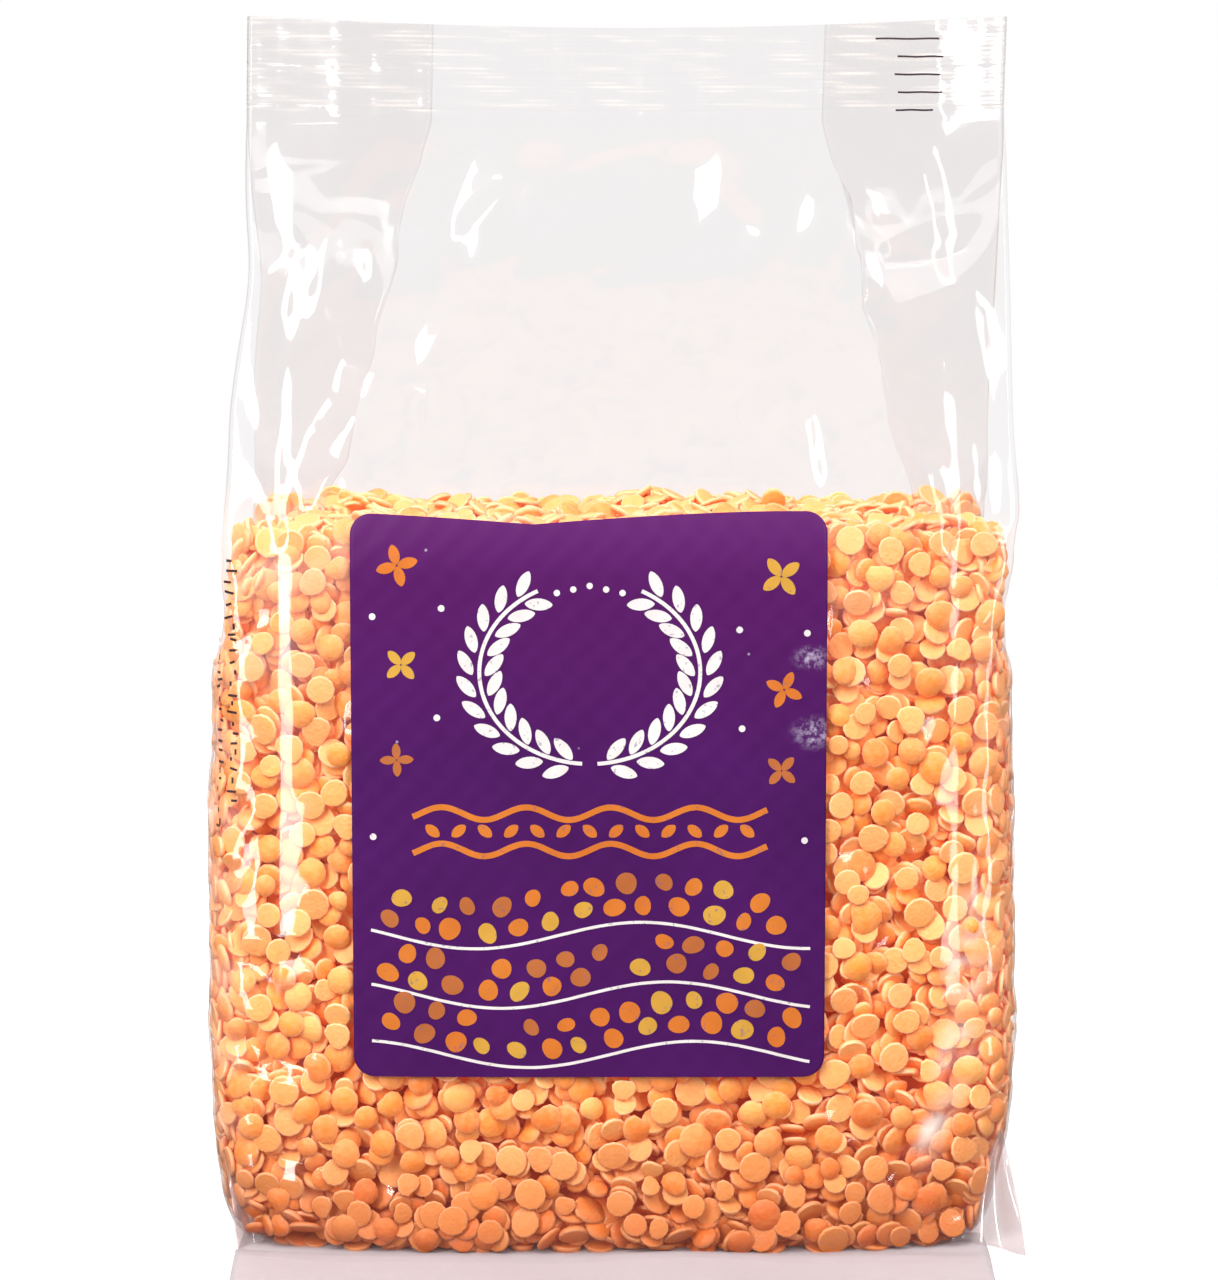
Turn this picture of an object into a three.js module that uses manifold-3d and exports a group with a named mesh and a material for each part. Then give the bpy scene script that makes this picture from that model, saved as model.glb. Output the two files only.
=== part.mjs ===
// A clear side-gusseted bag of split lentils, standing, with a label on its front.
// Millimetres, +Z up, the front towards -Y. The origin is at the middle of the footprint's box.
// The bag and what fills it are one solid. Its filled lower part is in relief, one low bump to a lentil.
import * as THREE from 'three';
import { mergeVertices } from 'three/addons/utils/BufferGeometryUtils.js';
import Module from 'manifold-3d';

const wasm = await Module();
wasm.setup();

// The film as it was cut: a front and a back panel, and two side panels that fold inwards
const panelWidth = 110;
const gussetHalf = 27;
const bagHeight = 176.6;
const sealHeight = 14.8;
const sealThickness = 0.8;
const sealDip = 1.7; // the filled front pulls the middle of the top edge down

// The bag as it stands
const fillHeight = 106;
const cornerDepth = 24; // from the middle plane to a front or back fold, where it is full
const frontBulge = 3;
const sideBulge = 3.5;
const headStart = 98; // above this the front and back bend in towards the seal
const headBend = 12; // the height of that bend
const tuckStart = 80; // the side panels fold inwards between these heights
const tuckEnd = 104;
const leanStart = 60;
const leanAtTop = 2.7; // the empty top leans to the right
const edgeRadius = 4; // round the base
const sideRise = 18; // the sides draw in towards the base below this height
const sideDraw = 4.5;
const panelPower = 3.5; // how late the front turns back towards its folds
const sidePower = 2.2;

// The bottom seal, folded forwards, and the two empty corners of the film
const finWidth = 108.5;
const finLength = 20;
const finThickness = 0.8;
const rightEar = { reach: 60.2, rise: 17, root: 50 };
const leftEar = { reach: 56.5, rise: 12, root: 48 };
const earThickness = 0.8;
const earDepth = -18.5;

// Lentils in relief
const panelColumns = 36;
const gussetColumns = 18;
const rowPitch = 2.65;
const hollowDepth = 1.0;
const hollowSpread = 0.5;
const foldRound = 0.8; // the lentils round the folds off
const reliefStart = 3.5;

// Shallow dents in the empty top: lines in X and Z, how deep they press in and how wide they run out
const dents = [
  { from: [32, 160], to: [42, 145], depth: 1.3, width: 5 },
  { from: [33, 146], to: [52, 138], depth: 1.1, width: 5 },
  { from: [46, 131], to: [57, 126], depth: 1.0, width: 4 },
  { from: [-30, 126], to: [-43, 106], depth: 1.2, width: 5 },
  { from: [-57, 131], to: [-38, 129], depth: 1.0, width: 4 },
  { from: [-46, 158], to: [-50, 140], depth: 1.0, width: 5 },
  { from: [-14, 140], to: [20, 118], depth: 1.4, width: 14 },
];

// The label
const label = { left: -36.6, right: 30.3, bottom: 26.4, top: 107, radius: 3, thickness: 0.35, gap: 0.35 };
const labelDip = { at: -11, depth: 1.8, width: 34 };

const columns = 2 * (panelColumns + gussetColumns);
const foldColumns = [0, panelColumns, panelColumns + gussetColumns, 2 * panelColumns + gussetColumns];
const sealBottom = bagHeight - sealHeight;

const clamp01 = (v) => Math.min(1, Math.max(0, v));
const mix = (a, b, t) => a + (b - a) * t;
const ramp = (from, to, v) => clamp01((v - from) / (to - from));
const smooth = (from, to, v) => {
  const t = ramp(from, to, v);
  return t * t * (3 - 2 * t);
};

// A seeded random number from 0 to 1
let seed = 20417;
function random() {
  seed = (seed * 1664525 + 1013904223) % 4294967296;
  return seed / 4294967296;
}

// How far the outline draws in at a height, near the base
function drawIn(z) {
  const left = Math.max(0, edgeRadius - z);
  const edge = edgeRadius - Math.sqrt(edgeRadius ** 2 - left ** 2);
  const side = sideDraw * (1 - ramp(0, sideRise, z)) ** 2;
  return { edge, side };
}

// How far the front and back have run in, from 0 at the bend to 1 at the seal
function headRun(z) {
  const up = Math.min(z, sealBottom) - headStart;
  if (up <= 0) return 0;
  const run = up < headBend ? up ** 2 / (2 * headBend) : up - headBend / 2;
  return run / (sealBottom - headStart - headBend / 2);
}

// The section of the bag at a height: its fold lines, and how far its panels bulge
function section(z) {
  const { edge, side } = drawIn(z);
  const depth = mix(cornerDepth, sealThickness / 2, headRun(z));
  const tuck = Math.sqrt(gussetHalf ** 2 - depth ** 2);
  const folded = smooth(tuckStart, tuckEnd, z);
  return {
    x: panelWidth / 2 - side - edge,
    y: depth - edge,
    bulge: frontBulge * (1 - smooth(95, 135, z)) + side * 0.6,
    sideways: mix(sideBulge, -tuck, folded),
    sidePower: mix(sidePower, 1, folded),
    lean: leanAtTop * ramp(leanStart, bagHeight, z),
  };
}

// A point on a panel: t runs from -1 at its left fold to 1 at its right fold
function panelPoint(s, t, back) {
  const y = s.y + s.bulge * (1 - Math.abs(t) ** panelPower);
  return new THREE.Vector2(s.x * t + s.lean, back ? y : -y);
}

// A point on a side panel: v runs from -1 at the front fold to 1 at the back fold
function sidePoint(s, v, right) {
  const out = s.x + s.sideways * (1 - Math.abs(v) ** s.sidePower);
  return new THREE.Vector2((right ? out : -out) + s.lean, s.y * v);
}

// Column u of a section, counter-clockwise from the left front fold
function outlinePoint(s, u) {
  const k = (u + columns) % columns;
  const rightStart = panelColumns;
  const backStart = rightStart + gussetColumns;
  const leftStart = backStart + panelColumns;
  if (k < rightStart) return panelPoint(s, (2 * k) / panelColumns - 1, false);
  if (k < backStart) return sidePoint(s, (2 * (k - rightStart)) / gussetColumns - 1, true);
  if (k < leftStart) return panelPoint(s, 1 - (2 * (k - backStart)) / panelColumns, true);
  return sidePoint(s, 1 - (2 * (k - leftStart)) / gussetColumns, false);
}

// The front of the bag at a place, without relief
function frontY(x, z) {
  const s = section(z);
  const t = clamp01(Math.abs(x - s.lean) / s.x);
  return -(s.y + s.bulge * (1 - t ** panelPower));
}

// How deep the surface lies under the film at a column and a row: peaks lie on a triangular lattice
function hollow(row, column, z) {
  const along = column - Math.floor(row / 2);
  const peak = (((along - row) % 3) + 3) % 3 === 0;
  const noise = random();
  if (z < reliefStart || z > fillHeight - 1) return 0;
  return peak ? noise * 0.25 : hollowDepth + (noise - 0.5) * hollowSpread;
}

// The film is pulled flat behind the label
function behindLabel(x, y, z) {
  const margin = 2.5;
  const across = x > label.left + margin && x < label.right - margin;
  return y < 0 && across && z > label.bottom + margin && z < label.top - margin;
}

// One ring of the filled part. Odd rows are shifted by half a column, so that the lattice is triangular.
function filledRing(row, z) {
  const s = section(z);
  const shift = (row % 2) / 2;
  const ring = [];
  for (let i = 0; i < columns; i += 1) {
    const p = outlinePoint(s, i + shift);
    const before = outlinePoint(s, i + shift - 0.4);
    const after = outlinePoint(s, i + shift + 0.4);
    const inwards = new THREE.Vector2(before.y - after.y, after.x - before.x).normalize();
    const atFold = row % 2 === 0 && foldColumns.includes(i);
    const depth = hollow(row, i, z) + (atFold ? foldRound : 0);
    if (!behindLabel(p.x, p.y, z)) p.addScaledVector(inwards, depth);
    ring.push(new THREE.Vector3(p.x, p.y, z));
  }
  return ring;
}

// A closed solid from rings with the same number of points, counter-clockwise from above, lowest first.
// Where odd rings are shifted by half a step, the faces between them lean the other way.
function loft(rings, shifted) {
  const n = rings[0].length;
  const points = rings.flat();
  const faces = [];
  for (let j = 0; j < rings.length - 1; j += 1) {
    for (let i = 0; i < n; i += 1) {
      const [a, b] = [j * n + i, j * n + ((i + 1) % n)];
      const [c, d] = [a + n, b + n];
      if (shifted && j % 2 === 1) faces.push(a, b, d, a, d, c);
      else faces.push(a, b, c, b, d, c);
    }
  }
  for (const [start, top] of [[0, false], [(rings.length - 1) * n, true]]) {
    const outline = rings[top ? rings.length - 1 : 0].map((p) => new THREE.Vector2(p.x, p.y));
    for (const [a, b, c] of THREE.ShapeUtils.triangulateShape(outline, [])) {
      if (top) faces.push(start + a, start + b, start + c);
      else faces.push(start + c, start + b, start + a);
    }
  }
  return solidFrom(points, faces);
}

function solidFrom(points, faces) {
  const vertProperties = new Float32Array(points.flatMap((p) => [p.x, p.y, p.z]));
  const triVerts = new Uint32Array(faces);
  return new wasm.Manifold(new wasm.Mesh({ numProp: 3, vertProperties, triVerts }));
}

function solidOf(geometry) {
  const bare = geometry.clone();
  bare.deleteAttribute('normal');
  bare.deleteAttribute('uv');
  const merged = mergeVertices(bare, 1e-4);
  const vertProperties = merged.attributes.position.array;
  return new wasm.Manifold(new wasm.Mesh({ numProp: 3, vertProperties, triVerts: merged.index.array }));
}

function geometryOf(solid) {
  const mesh = solid.getMesh();
  const geometry = new THREE.BufferGeometry();
  geometry.setAttribute('position', new THREE.BufferAttribute(mesh.vertProperties, 3));
  geometry.setIndex(new THREE.BufferAttribute(mesh.triVerts, 1));
  return geometry;
}

// The filled part, from the flat base to the level of the lentils
function filledPart() {
  const heights = [0, 1.2, reliefStart];
  const rows = Math.round((fillHeight - reliefStart) / rowPitch);
  for (let j = 1; j <= rows; j += 1) heights.push(mix(reliefStart, fillHeight, j / rows));
  return loft(heights.map((z, row) => filledRing(row, z)), true);
}

// How far the film is pressed in at a place of the empty top
function dentAt(x, z) {
  if (z < fillHeight + 4) return 0;
  let deepest = 0;
  for (const { from, to, depth, width } of dents) {
    const [dx, dz] = [to[0] - from[0], to[1] - from[1]];
    const t = clamp01(((x - from[0]) * dx + (z - from[1]) * dz) / (dx * dx + dz * dz));
    const away = Math.hypot(x - from[0] - t * dx, z - from[1] - t * dz) / width;
    deepest = Math.max(deepest, depth * Math.max(0, 1 - away * away));
  }
  return deepest;
}

// The empty top: two flat panels that meet at the seal, with each side panel tucked in between them
function headPart() {
  const flap = sealThickness / 2;
  const panelSteps = 16;
  const steps = 13;
  const rings = [];
  for (let j = 0; j <= steps; j += 1) {
    const z = mix(headStart, sealBottom + 0.5, j / steps);
    const s = section(Math.min(z, sealBottom));
    const tuck = Math.sqrt(gussetHalf ** 2 - s.y ** 2);
    const inset = j === 0 ? 0.8 : 0; // it starts inside the filled part
    const x = s.x - inset;
    const y = Math.max(s.y - inset, flap);
    const ring = [];
    const panel = (back) => {
      for (let i = 0; i <= panelSteps; i += 1) {
        const t = (back ? -1 : 1) * ((2 * i) / panelSteps - 1);
        const px = x * t + s.lean;
        const free = (1 - t ** 8) * smooth(sealBottom, sealBottom - 6, z);
        const out = s.bulge * (1 - Math.abs(t) ** panelPower) - free * dentAt(px, z);
        ring.push(new THREE.Vector3(px, (back ? 1 : -1) * Math.max(y + out, flap), z));
      }
    };
    const fold = (right) => {
      const out = right ? 1 : -1;
      const mouth = Math.max(y - flap, 0.05);
      ring.push(new THREE.Vector3(out * x + s.lean, -out * mouth, z));
      ring.push(new THREE.Vector3(out * (x - tuck) + s.lean, 0, z));
      ring.push(new THREE.Vector3(out * x + s.lean, out * mouth, z));
    };
    panel(false);
    fold(true);
    panel(true);
    fold(false);
    rings.push(ring);
  }
  return loft(rings, false);
}

// The flat top seal, where the panels and the folded sides are welded together
function topSeal() {
  const steps = 16;
  const outline = new THREE.Shape();
  const dip = (t) => bagHeight - sealDip * (1 - t * t);
  const half = panelWidth / 2;
  const lean = (z) => leanAtTop * ramp(leanStart, bagHeight, z);
  outline.moveTo(-half + lean(sealBottom), sealBottom);
  outline.lineTo(half + lean(sealBottom), sealBottom);
  for (let i = 0; i <= steps; i += 1) {
    const t = 1 - (2 * i) / steps;
    outline.lineTo(half * t + leanAtTop, dip(t));
  }
  outline.closePath();
  return standingPlate(outline, sealThickness, 0);
}

// A plate drawn in X and Z, standing at a depth
function standingPlate(outline, thickness, y) {
  const plate = new THREE.ExtrudeGeometry(outline, { depth: thickness, bevelEnabled: false });
  plate.rotateX(Math.PI / 2);
  plate.translate(0, y + thickness / 2, 0);
  return solidOf(plate);
}

// The bottom seal lies forwards on what the bag stands on
function bottomSeal() {
  const back = -cornerDepth + edgeRadius + 4;
  const front = -cornerDepth - frontBulge - finLength;
  const outline = new THREE.Shape();
  outline.moveTo(-finWidth / 2, back);
  outline.lineTo(-finWidth / 2 + 1, front);
  outline.lineTo(finWidth / 2 - 1, front);
  outline.lineTo(finWidth / 2, back);
  outline.closePath();
  const plate = new THREE.ExtrudeGeometry(outline, { depth: finThickness, bevelEnabled: false });
  return solidOf(plate);
}

// An empty corner of the film at one end of the bottom seal
function ear({ reach, rise, root }, side) {
  const outline = new THREE.Shape();
  outline.moveTo(side * root, 0);
  outline.lineTo(side * reach, 0);
  outline.lineTo(side * (panelWidth / 2 + sideBulge * 0.3), rise);
  outline.lineTo(side * root, rise);
  outline.closePath();
  return standingPlate(outline, earThickness, earDepth);
}

// A thin sheet with round corners that follows the front of the bag
function labelSheet() {
  const across = 12;
  const cornerRows = 3;
  const middleRows = 16;
  const height = label.top - label.bottom;
  const cornerHeights = [];
  for (let j = 0; j <= cornerRows; j += 1) {
    cornerHeights.push(label.radius * (1 - Math.cos((j / cornerRows) * Math.PI * 0.5)));
  }
  const middleHeights = [];
  for (let j = 1; j < middleRows; j += 1) {
    middleHeights.push(mix(label.radius, height - label.radius, j / middleRows));
  }
  const upperHeights = cornerHeights.map((h) => height - h).reverse();
  const rowHeights = [...cornerHeights, ...middleHeights, ...upperHeights];
  const outer = [];
  const inner = [];
  const halfWidth = (label.right - label.left) / 2;
  const middle = (label.right + label.left) / 2;
  for (const h of rowHeights) {
    const toEdge = Math.min(label.radius, h, height - h);
    const round = label.radius - Math.sqrt(label.radius ** 2 - (label.radius - toEdge) ** 2);
    for (let i = 0; i <= across; i += 1) {
      const x = middle + (halfWidth - round) * ((2 * i) / across - 1);
      const dip = labelDip.depth * Math.max(0, 1 - Math.abs(x - labelDip.at) / labelDip.width) ** 1.5;
      const z = label.bottom + h * (1 - dip / height);
      const y = frontY(x, z) - label.gap;
      inner.push(new THREE.Vector3(x, y, z));
      outer.push(new THREE.Vector3(x, y - label.thickness, z));
    }
  }
  return sheetSolid(outer, inner, rowHeights.length, across + 1);
}

// Joins a front and a back grid of points into one closed sheet
function sheetSolid(outer, inner, rows, across) {
  const points = [...outer, ...inner];
  const behind = outer.length;
  const faces = [];
  const quad = (a, b, c, d) => faces.push(a, b, c, a, c, d);
  for (let j = 0; j < rows - 1; j += 1) {
    for (let i = 0; i < across - 1; i += 1) {
      const a = j * across + i;
      quad(a, a + 1, a + across + 1, a + across);
      quad(behind + a + across, behind + a + across + 1, behind + a + 1, behind + a);
    }
  }
  for (let i = 0; i < across - 1; i += 1) {
    const top = (rows - 1) * across + i;
    quad(behind + i, behind + i + 1, i + 1, i);
    quad(top, top + 1, behind + top + 1, behind + top);
  }
  for (let j = 0; j < rows - 1; j += 1) {
    const left = j * across;
    const right = left + across - 1;
    quad(behind + left, left, left + across, behind + left + across);
    quad(right, behind + right, behind + right + across, right + across);
  }
  return solidFrom(points, faces);
}

const bagSolid = filledPart()
  .add(headPart())
  .add(topSeal())
  .add(bottomSeal())
  .add(ear(rightEar, 1))
  .add(ear(leftEar, -1));

const filledFilm = new THREE.MeshStandardMaterial({ color: 0xf0a468, roughness: 0.25, metalness: 0 });
const glossPaper = new THREE.MeshStandardMaterial({ color: 0x5d2470, roughness: 0.4, metalness: 0 });

const bagMesh = new THREE.Mesh(geometryOf(bagSolid), filledFilm);
bagMesh.name = 'bag';
const labelMesh = new THREE.Mesh(geometryOf(labelSheet()), glossPaper);
labelMesh.name = 'label';

const model = new THREE.Group();
model.add(bagMesh, labelMesh);

// The origin goes to the middle of the footprint's box
const box = new THREE.Box3().setFromObject(model);
const centre = box.getCenter(new THREE.Vector3());
model.position.set(-centre.x, -centre.y, -box.min.z);

export default model;
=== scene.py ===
import math

import bpy
import numpy as np
from mathutils import Matrix, Vector
from mathutils.geometry import delaunay_2d_cdt


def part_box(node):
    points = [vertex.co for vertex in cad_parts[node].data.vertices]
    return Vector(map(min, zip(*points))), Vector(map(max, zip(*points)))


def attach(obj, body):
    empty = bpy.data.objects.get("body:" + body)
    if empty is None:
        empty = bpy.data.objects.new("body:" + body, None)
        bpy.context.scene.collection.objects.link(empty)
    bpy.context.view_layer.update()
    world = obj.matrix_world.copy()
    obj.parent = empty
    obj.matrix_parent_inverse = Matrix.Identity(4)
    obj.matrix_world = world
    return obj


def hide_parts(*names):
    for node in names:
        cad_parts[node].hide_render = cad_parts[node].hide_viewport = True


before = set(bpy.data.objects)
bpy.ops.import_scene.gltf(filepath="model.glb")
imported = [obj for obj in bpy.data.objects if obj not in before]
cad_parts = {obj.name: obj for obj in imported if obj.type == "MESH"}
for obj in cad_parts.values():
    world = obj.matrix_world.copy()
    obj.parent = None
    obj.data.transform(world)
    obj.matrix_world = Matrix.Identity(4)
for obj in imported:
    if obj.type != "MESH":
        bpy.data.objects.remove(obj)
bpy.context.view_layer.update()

print("stage: frame loaded")
bpy.context.scene.view_settings.view_transform = "Standard"

# Sizes in millimetres. x and y count from the middle of the bag's body, the front towards -y.
bag = {
    "panelWidth": 110.0, "gussetHalf": 27.0, "cornerDepth": 24.0,
    "frontBulge": 3.0, "sideBulge": 3.5,
    "headStart": 98.0, "headBend": 12.0, "tuckStart": 80.0, "tuckEnd": 104.0,
    "sealBottom": 161.8, "top": 176.6, "sealDip": 1.7, "flap": 0.2,
    "leanStart": 60.0, "leanAtTop": 2.7, "edgeRadius": 4.0, "sideRise": 18.0, "sideDraw": 4.5,
    "panelPower": 3.5, "sidePower": 2.2, "reach": 60.2, "finFront": 47.0,
}

low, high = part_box("bag")
bodyShift = np.array([high.x * 1000 - bag["reach"], low.y * 1000 + bag["finFront"], 0.0])


def place(points):
    # mm from the body's middle to metres in the frame
    return (np.asarray(points, float) + bodyShift) * 0.001


def clamp01(v):
    return np.clip(v, 0.0, 1.0)


def ramp(start, end, v):
    return clamp01((v - start) / (end - start))


def smooth(start, end, v):
    t = ramp(start, end, v)
    return t * t * (3 - 2 * t)


# The film's own form: four panels between four folds

def headRun(z):
    up = np.maximum(0.0, np.minimum(z, bag["sealBottom"]) - bag["headStart"])
    bend = bag["headBend"]
    run = np.where(up < bend, up ** 2 / (2 * bend), up - bend / 2)
    return run / (bag["sealBottom"] - bag["headStart"] - bend / 2)


def section(z):
    left = np.maximum(0.0, bag["edgeRadius"] - z)
    edge = bag["edgeRadius"] - np.sqrt(np.maximum(0.0, bag["edgeRadius"] ** 2 - left ** 2))
    side = bag["sideDraw"] * (1 - ramp(0, bag["sideRise"], z)) ** 2
    depth = bag["cornerDepth"] + (bag["flap"] - bag["cornerDepth"]) * headRun(z)
    tuck = np.sqrt(bag["gussetHalf"] ** 2 - depth ** 2) * (1 - 0.16 * np.sin(math.pi * ramp(100, 162, z)))
    folded = smooth(bag["tuckStart"], bag["tuckEnd"], z)
    return {
        "x": bag["panelWidth"] / 2 - side - edge,
        "y": depth - edge,
        "bulge": bag["frontBulge"] * (1 - smooth(95, 135, z)) + side * 0.6,
        "sideways": bag["sideBulge"] * (1 - folded) - tuck * folded,
        "sidePower": bag["sidePower"] * (1 - folded) + folded,
        "lean": bag["leanAtTop"] * ramp(bag["leanStart"], bag["top"], z),
    }


# how far the film stands out past its even form at its sides, by height
flare = {
    "left": [(0, 2.2), (4, 1.5), (8, 0.8), (14, 0.4), (22, 0.5), (30, 0.8), (60, 0.7), (72, 0.2),
             (80, 0.4), (90, 1.3), (97, 1.6), (104, 1.2), (112, 0.4), (118, 0.8), (125, 0.4),
             (131, -0.3), (139, -1.3), (143, -0.9), (150, 0), (162, 0.5)],
    "right": [(0, 0.8), (8, 0.3), (14, 0.1), (22, 0.9), (30, 1.2), (60, 0.6), (72, 0), (80, -0.4), (90, 0.5),
              (97, 1.3), (105, 2.0), (110, 1.5), (118, 0.8), (139, 0.5), (150, 0.2), (162, 0)],
}


def flareAt(side, z):
    # the mean over a few millimetres, so that it bends and doesn't kink
    heights, outs = zip(*flare[side])
    return sum(np.interp(z + step, heights, outs) for step in (-4, -2, 0, 2, 4)) / 5


panelSteps = 114
sideSteps = 58
columns = 2 * (panelSteps + sideSteps)
stretch = np.arange(columns)
onFront = stretch < panelSteps
onRight = (stretch >= panelSteps) & (stretch < panelSteps + sideSteps)
onBack = (stretch >= panelSteps + sideSteps) & (stretch < 2 * panelSteps + sideSteps)
panelT = np.zeros(columns)
panelT[onFront] = 2 * stretch[onFront] / panelSteps - 1
panelT[onBack] = 1 - 2 * (stretch[onBack] - panelSteps - sideSteps) / panelSteps
sideV = np.zeros(columns)
sideV[onRight] = 2 * (stretch[onRight] - panelSteps) / sideSteps - 1
onLeft = ~(onFront | onRight | onBack)
sideV[onLeft] = 1 - 2 * (stretch[onLeft] - 2 * panelSteps - sideSteps) / sideSteps


def ringAt(z, rounding):
    # one ring of the film at a height, counter-clockwise from the left front fold
    s = section(np.float64(z))
    out = s["x"] + s["sideways"] * (1 - np.abs(sideV) ** s["sidePower"])
    bow = s["y"] + s["bulge"] * (1 - np.abs(panelT) ** bag["panelPower"])
    x = np.where(onFront | onBack, s["x"] * panelT, np.where(onRight, out, -out))
    x = x + np.where(x > 0, flareAt("right", z), -flareAt("left", z)) * (x / s["x"]) ** 2 + s["lean"]
    y = np.where(onFront, -bow, np.where(onBack, bow, s["y"] * sideV))
    ring = np.stack([x, y], 1)
    if rounding > 0.05:
        ring = blurRound(ring, rounding)
    return np.column_stack([ring, np.full(columns, float(z))])


def blurRound(ring, sigma):
    # softens the folds of a closed ring; sigma counts columns
    wave = np.fft.fftfreq(len(ring))
    keep = np.exp(-2 * (math.pi * wave * sigma) ** 2)
    return np.real(np.fft.ifft(np.fft.fft(ring, axis=0) * keep[:, None], axis=0))


def foldRounding(z):
    return 2.3 - 1.9 * smooth(88, 112, z)


# The wall that the lentils lie against, as a table of points and directions

wallHeights = np.concatenate([np.array([0.0, 0.3, 0.8, 1.5, 2.4]), np.arange(3.5, 112.1, 1.25)])
wall = np.array([ringAt(z, foldRounding(z)) for z in wallHeights])
alongWall = np.roll(wall, -1, 1) - np.roll(wall, 1, 1)
upWall = np.gradient(wall, axis=0)
outWall = np.cross(alongWall, upWall)
outWall /= np.linalg.norm(outWall, axis=2, keepdims=True)
turning = np.roll(outWall, -1, 1) - np.roll(outWall, 1, 1)
wallCurve = np.sum(turning * alongWall, 2) / np.sum(alongWall ** 2, 2)


def sampleWall(table, column, z):
    # reads the wall's table at columns and heights between its own
    row = np.interp(z, wallHeights, np.arange(len(wallHeights)))
    j = np.clip(row.astype(int), 0, len(wallHeights) - 2)
    i = np.floor(column).astype(int)
    fz, fu = row - j, column - i
    if table.ndim == 3:
        fz, fu = fz[:, None], fu[:, None]
    a, b = i % columns, (i + 1) % columns
    lower = table[j, a] * (1 - fu) + table[j, b] * fu
    upper = table[j + 1, a] * (1 - fu) + table[j + 1, b] * fu
    return lower * (1 - fz) + upper * fz


# Lentils: flat half seeds dropped one by one, each into the lowest of a few places

lentil = {"radius": 2.0, "radiusSpread": 0.23, "smallest": 1.5, "largest": 2.55, "thickness": 1.14,
          "thicknessSpread": 0.11, "sink": 0.34, "deepSink": 0.95}
pile = {"cell": 0.25, "tries": 16, "wallDepth": 3.8, "wallCount": 11800, "topCount": 1000, "baseCount": 440,
        "loose": 0.3, "shallow": 0.55, "leastShown": 5, "openFrom": 95.0}


def leanings(rng, count, slope, upright):
    # unit normals of some seeds: most lie flat on what is under them, some stand leaning
    flat = rng.random(count) < upright
    tilt = np.where(flat, np.abs(rng.normal(0, 0.25, count)), rng.uniform(0.7, 1.3, count))
    around = np.where(flat, rng.uniform(0, 2 * math.pi, count),
                      rng.choice([0.5, 1.5], count) * math.pi + rng.normal(0, 0.55, count))
    n = np.stack([np.sin(tilt) * np.cos(around), np.sin(tilt) * np.sin(around), np.cos(tilt)], 1)
    n[flat, :2] -= slope[flat]
    return n / np.linalg.norm(n, axis=1, keepdims=True)


def dropLentils(rng, ground, count, target, upright, wraps, allowed=None):
    # ground is a height map with the seeds' side up; returns the places, the nearest surface
    # and how many of the map's cells each seed shows from there
    cell = pile["cell"]
    rows, cols = ground.shape
    half = int(math.ceil(2.75 / cell))
    span = np.arange(-half, half + 1)
    gy, gx = np.meshgrid(span * cell, span * cell, indexing="ij")
    nearest = np.full(ground.shape, 99.0)
    owner = np.full(ground.shape, -1)
    made = []
    for number in range(count):
        # the first ones lie as they fall, the later ones find the gaps
        tries = pile["tries"] if number > count * pile["loose"] else 4
        radius = lentil["radius"] + rng.normal(0, lentil["radiusSpread"])
        radius = min(max(radius, lentil["smallest"]), lentil["largest"])
        thick = max(0.85, lentil["thickness"] + rng.normal(0, lentil["thicknessSpread"]))
        cy = rng.integers(half, rows - half, tries)
        cx = rng.integers(0, cols, tries) if wraps else rng.integers(half, cols - half, tries)
        yy = cy[:, None, None] + span[None, :, None]
        xx = (cx[:, None, None] + span[None, None, :]) % cols
        windows = ground[yy, xx]
        slopeX = (windows[:, half, half + 5] - windows[:, half, half - 5]) / (10 * cell)
        slopeY = (windows[:, half + 5, half] - windows[:, half - 5, half]) / (10 * cell)
        slope = np.clip(np.stack([slopeX, slopeY], 1), -0.55, 0.55)
        n = leanings(rng, tries, slope, upright[cy, cx])
        # the upright line through each cell meets an oblate seed where a z^2 + 2 b z + c = 0
        k = 4 / thick ** 2 - 1 / radius ** 2
        along = n[:, 0, None, None] * gx + n[:, 1, None, None] * gy
        a = 1 / radius ** 2 + k * n[:, 2] ** 2
        a = a[:, None, None]
        b = k * n[:, 2, None, None] * along
        c = (gx ** 2 + gy ** 2) / radius ** 2 + k * along ** 2 - 1
        inside = b * b - a * c
        hit = inside > 0
        root = np.sqrt(np.where(hit, inside, 0))
        under = (-b - root) / a
        over = (-b + root) / a
        # the later ones, deeper in the bag, settle further in and close the gaps
        sink = lentil["sink"] if number < count * pile["shallow"] else lentil["deepSink"]
        centre = np.max(np.where(hit, windows - under, -99), axis=(1, 2)) - sink
        score = centre - target[cy, cx]
        if allowed is not None:
            score = score + np.where(allowed[cy, cx], 0, 50)
        best = int(np.argmin(score))
        if score[best] > 0:
            continue
        h, z = hit[best], centre[best]
        y, x = yy[best], xx[best]
        ground[y, x] = np.where(h, np.maximum(windows[best], z + over[best]), windows[best])
        shows = h & (z + under[best] < nearest[y, x])
        nearest[y, x] = np.where(shows, z + under[best], nearest[y, x])
        owner[y, x] = np.where(shows, len(made), owner[y, x])
        made.append((cx[best] * cell, cy[best] * cell, z, *n[best], radius, thick))
    return np.array(made), nearest, np.bincount(owner[owner >= 0], minlength=len(made))


def noiseAlong(rng, count, waves, size):
    # a smooth closed wave with a few random parts
    at = np.arange(count) / count * 2 * math.pi
    parts = [rng.normal() / math.sqrt(k) * np.cos(k * at + rng.uniform(0, 6.28)) for k in waves]
    return size * np.sum(parts, 0)


cell = pile["cell"]
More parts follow.
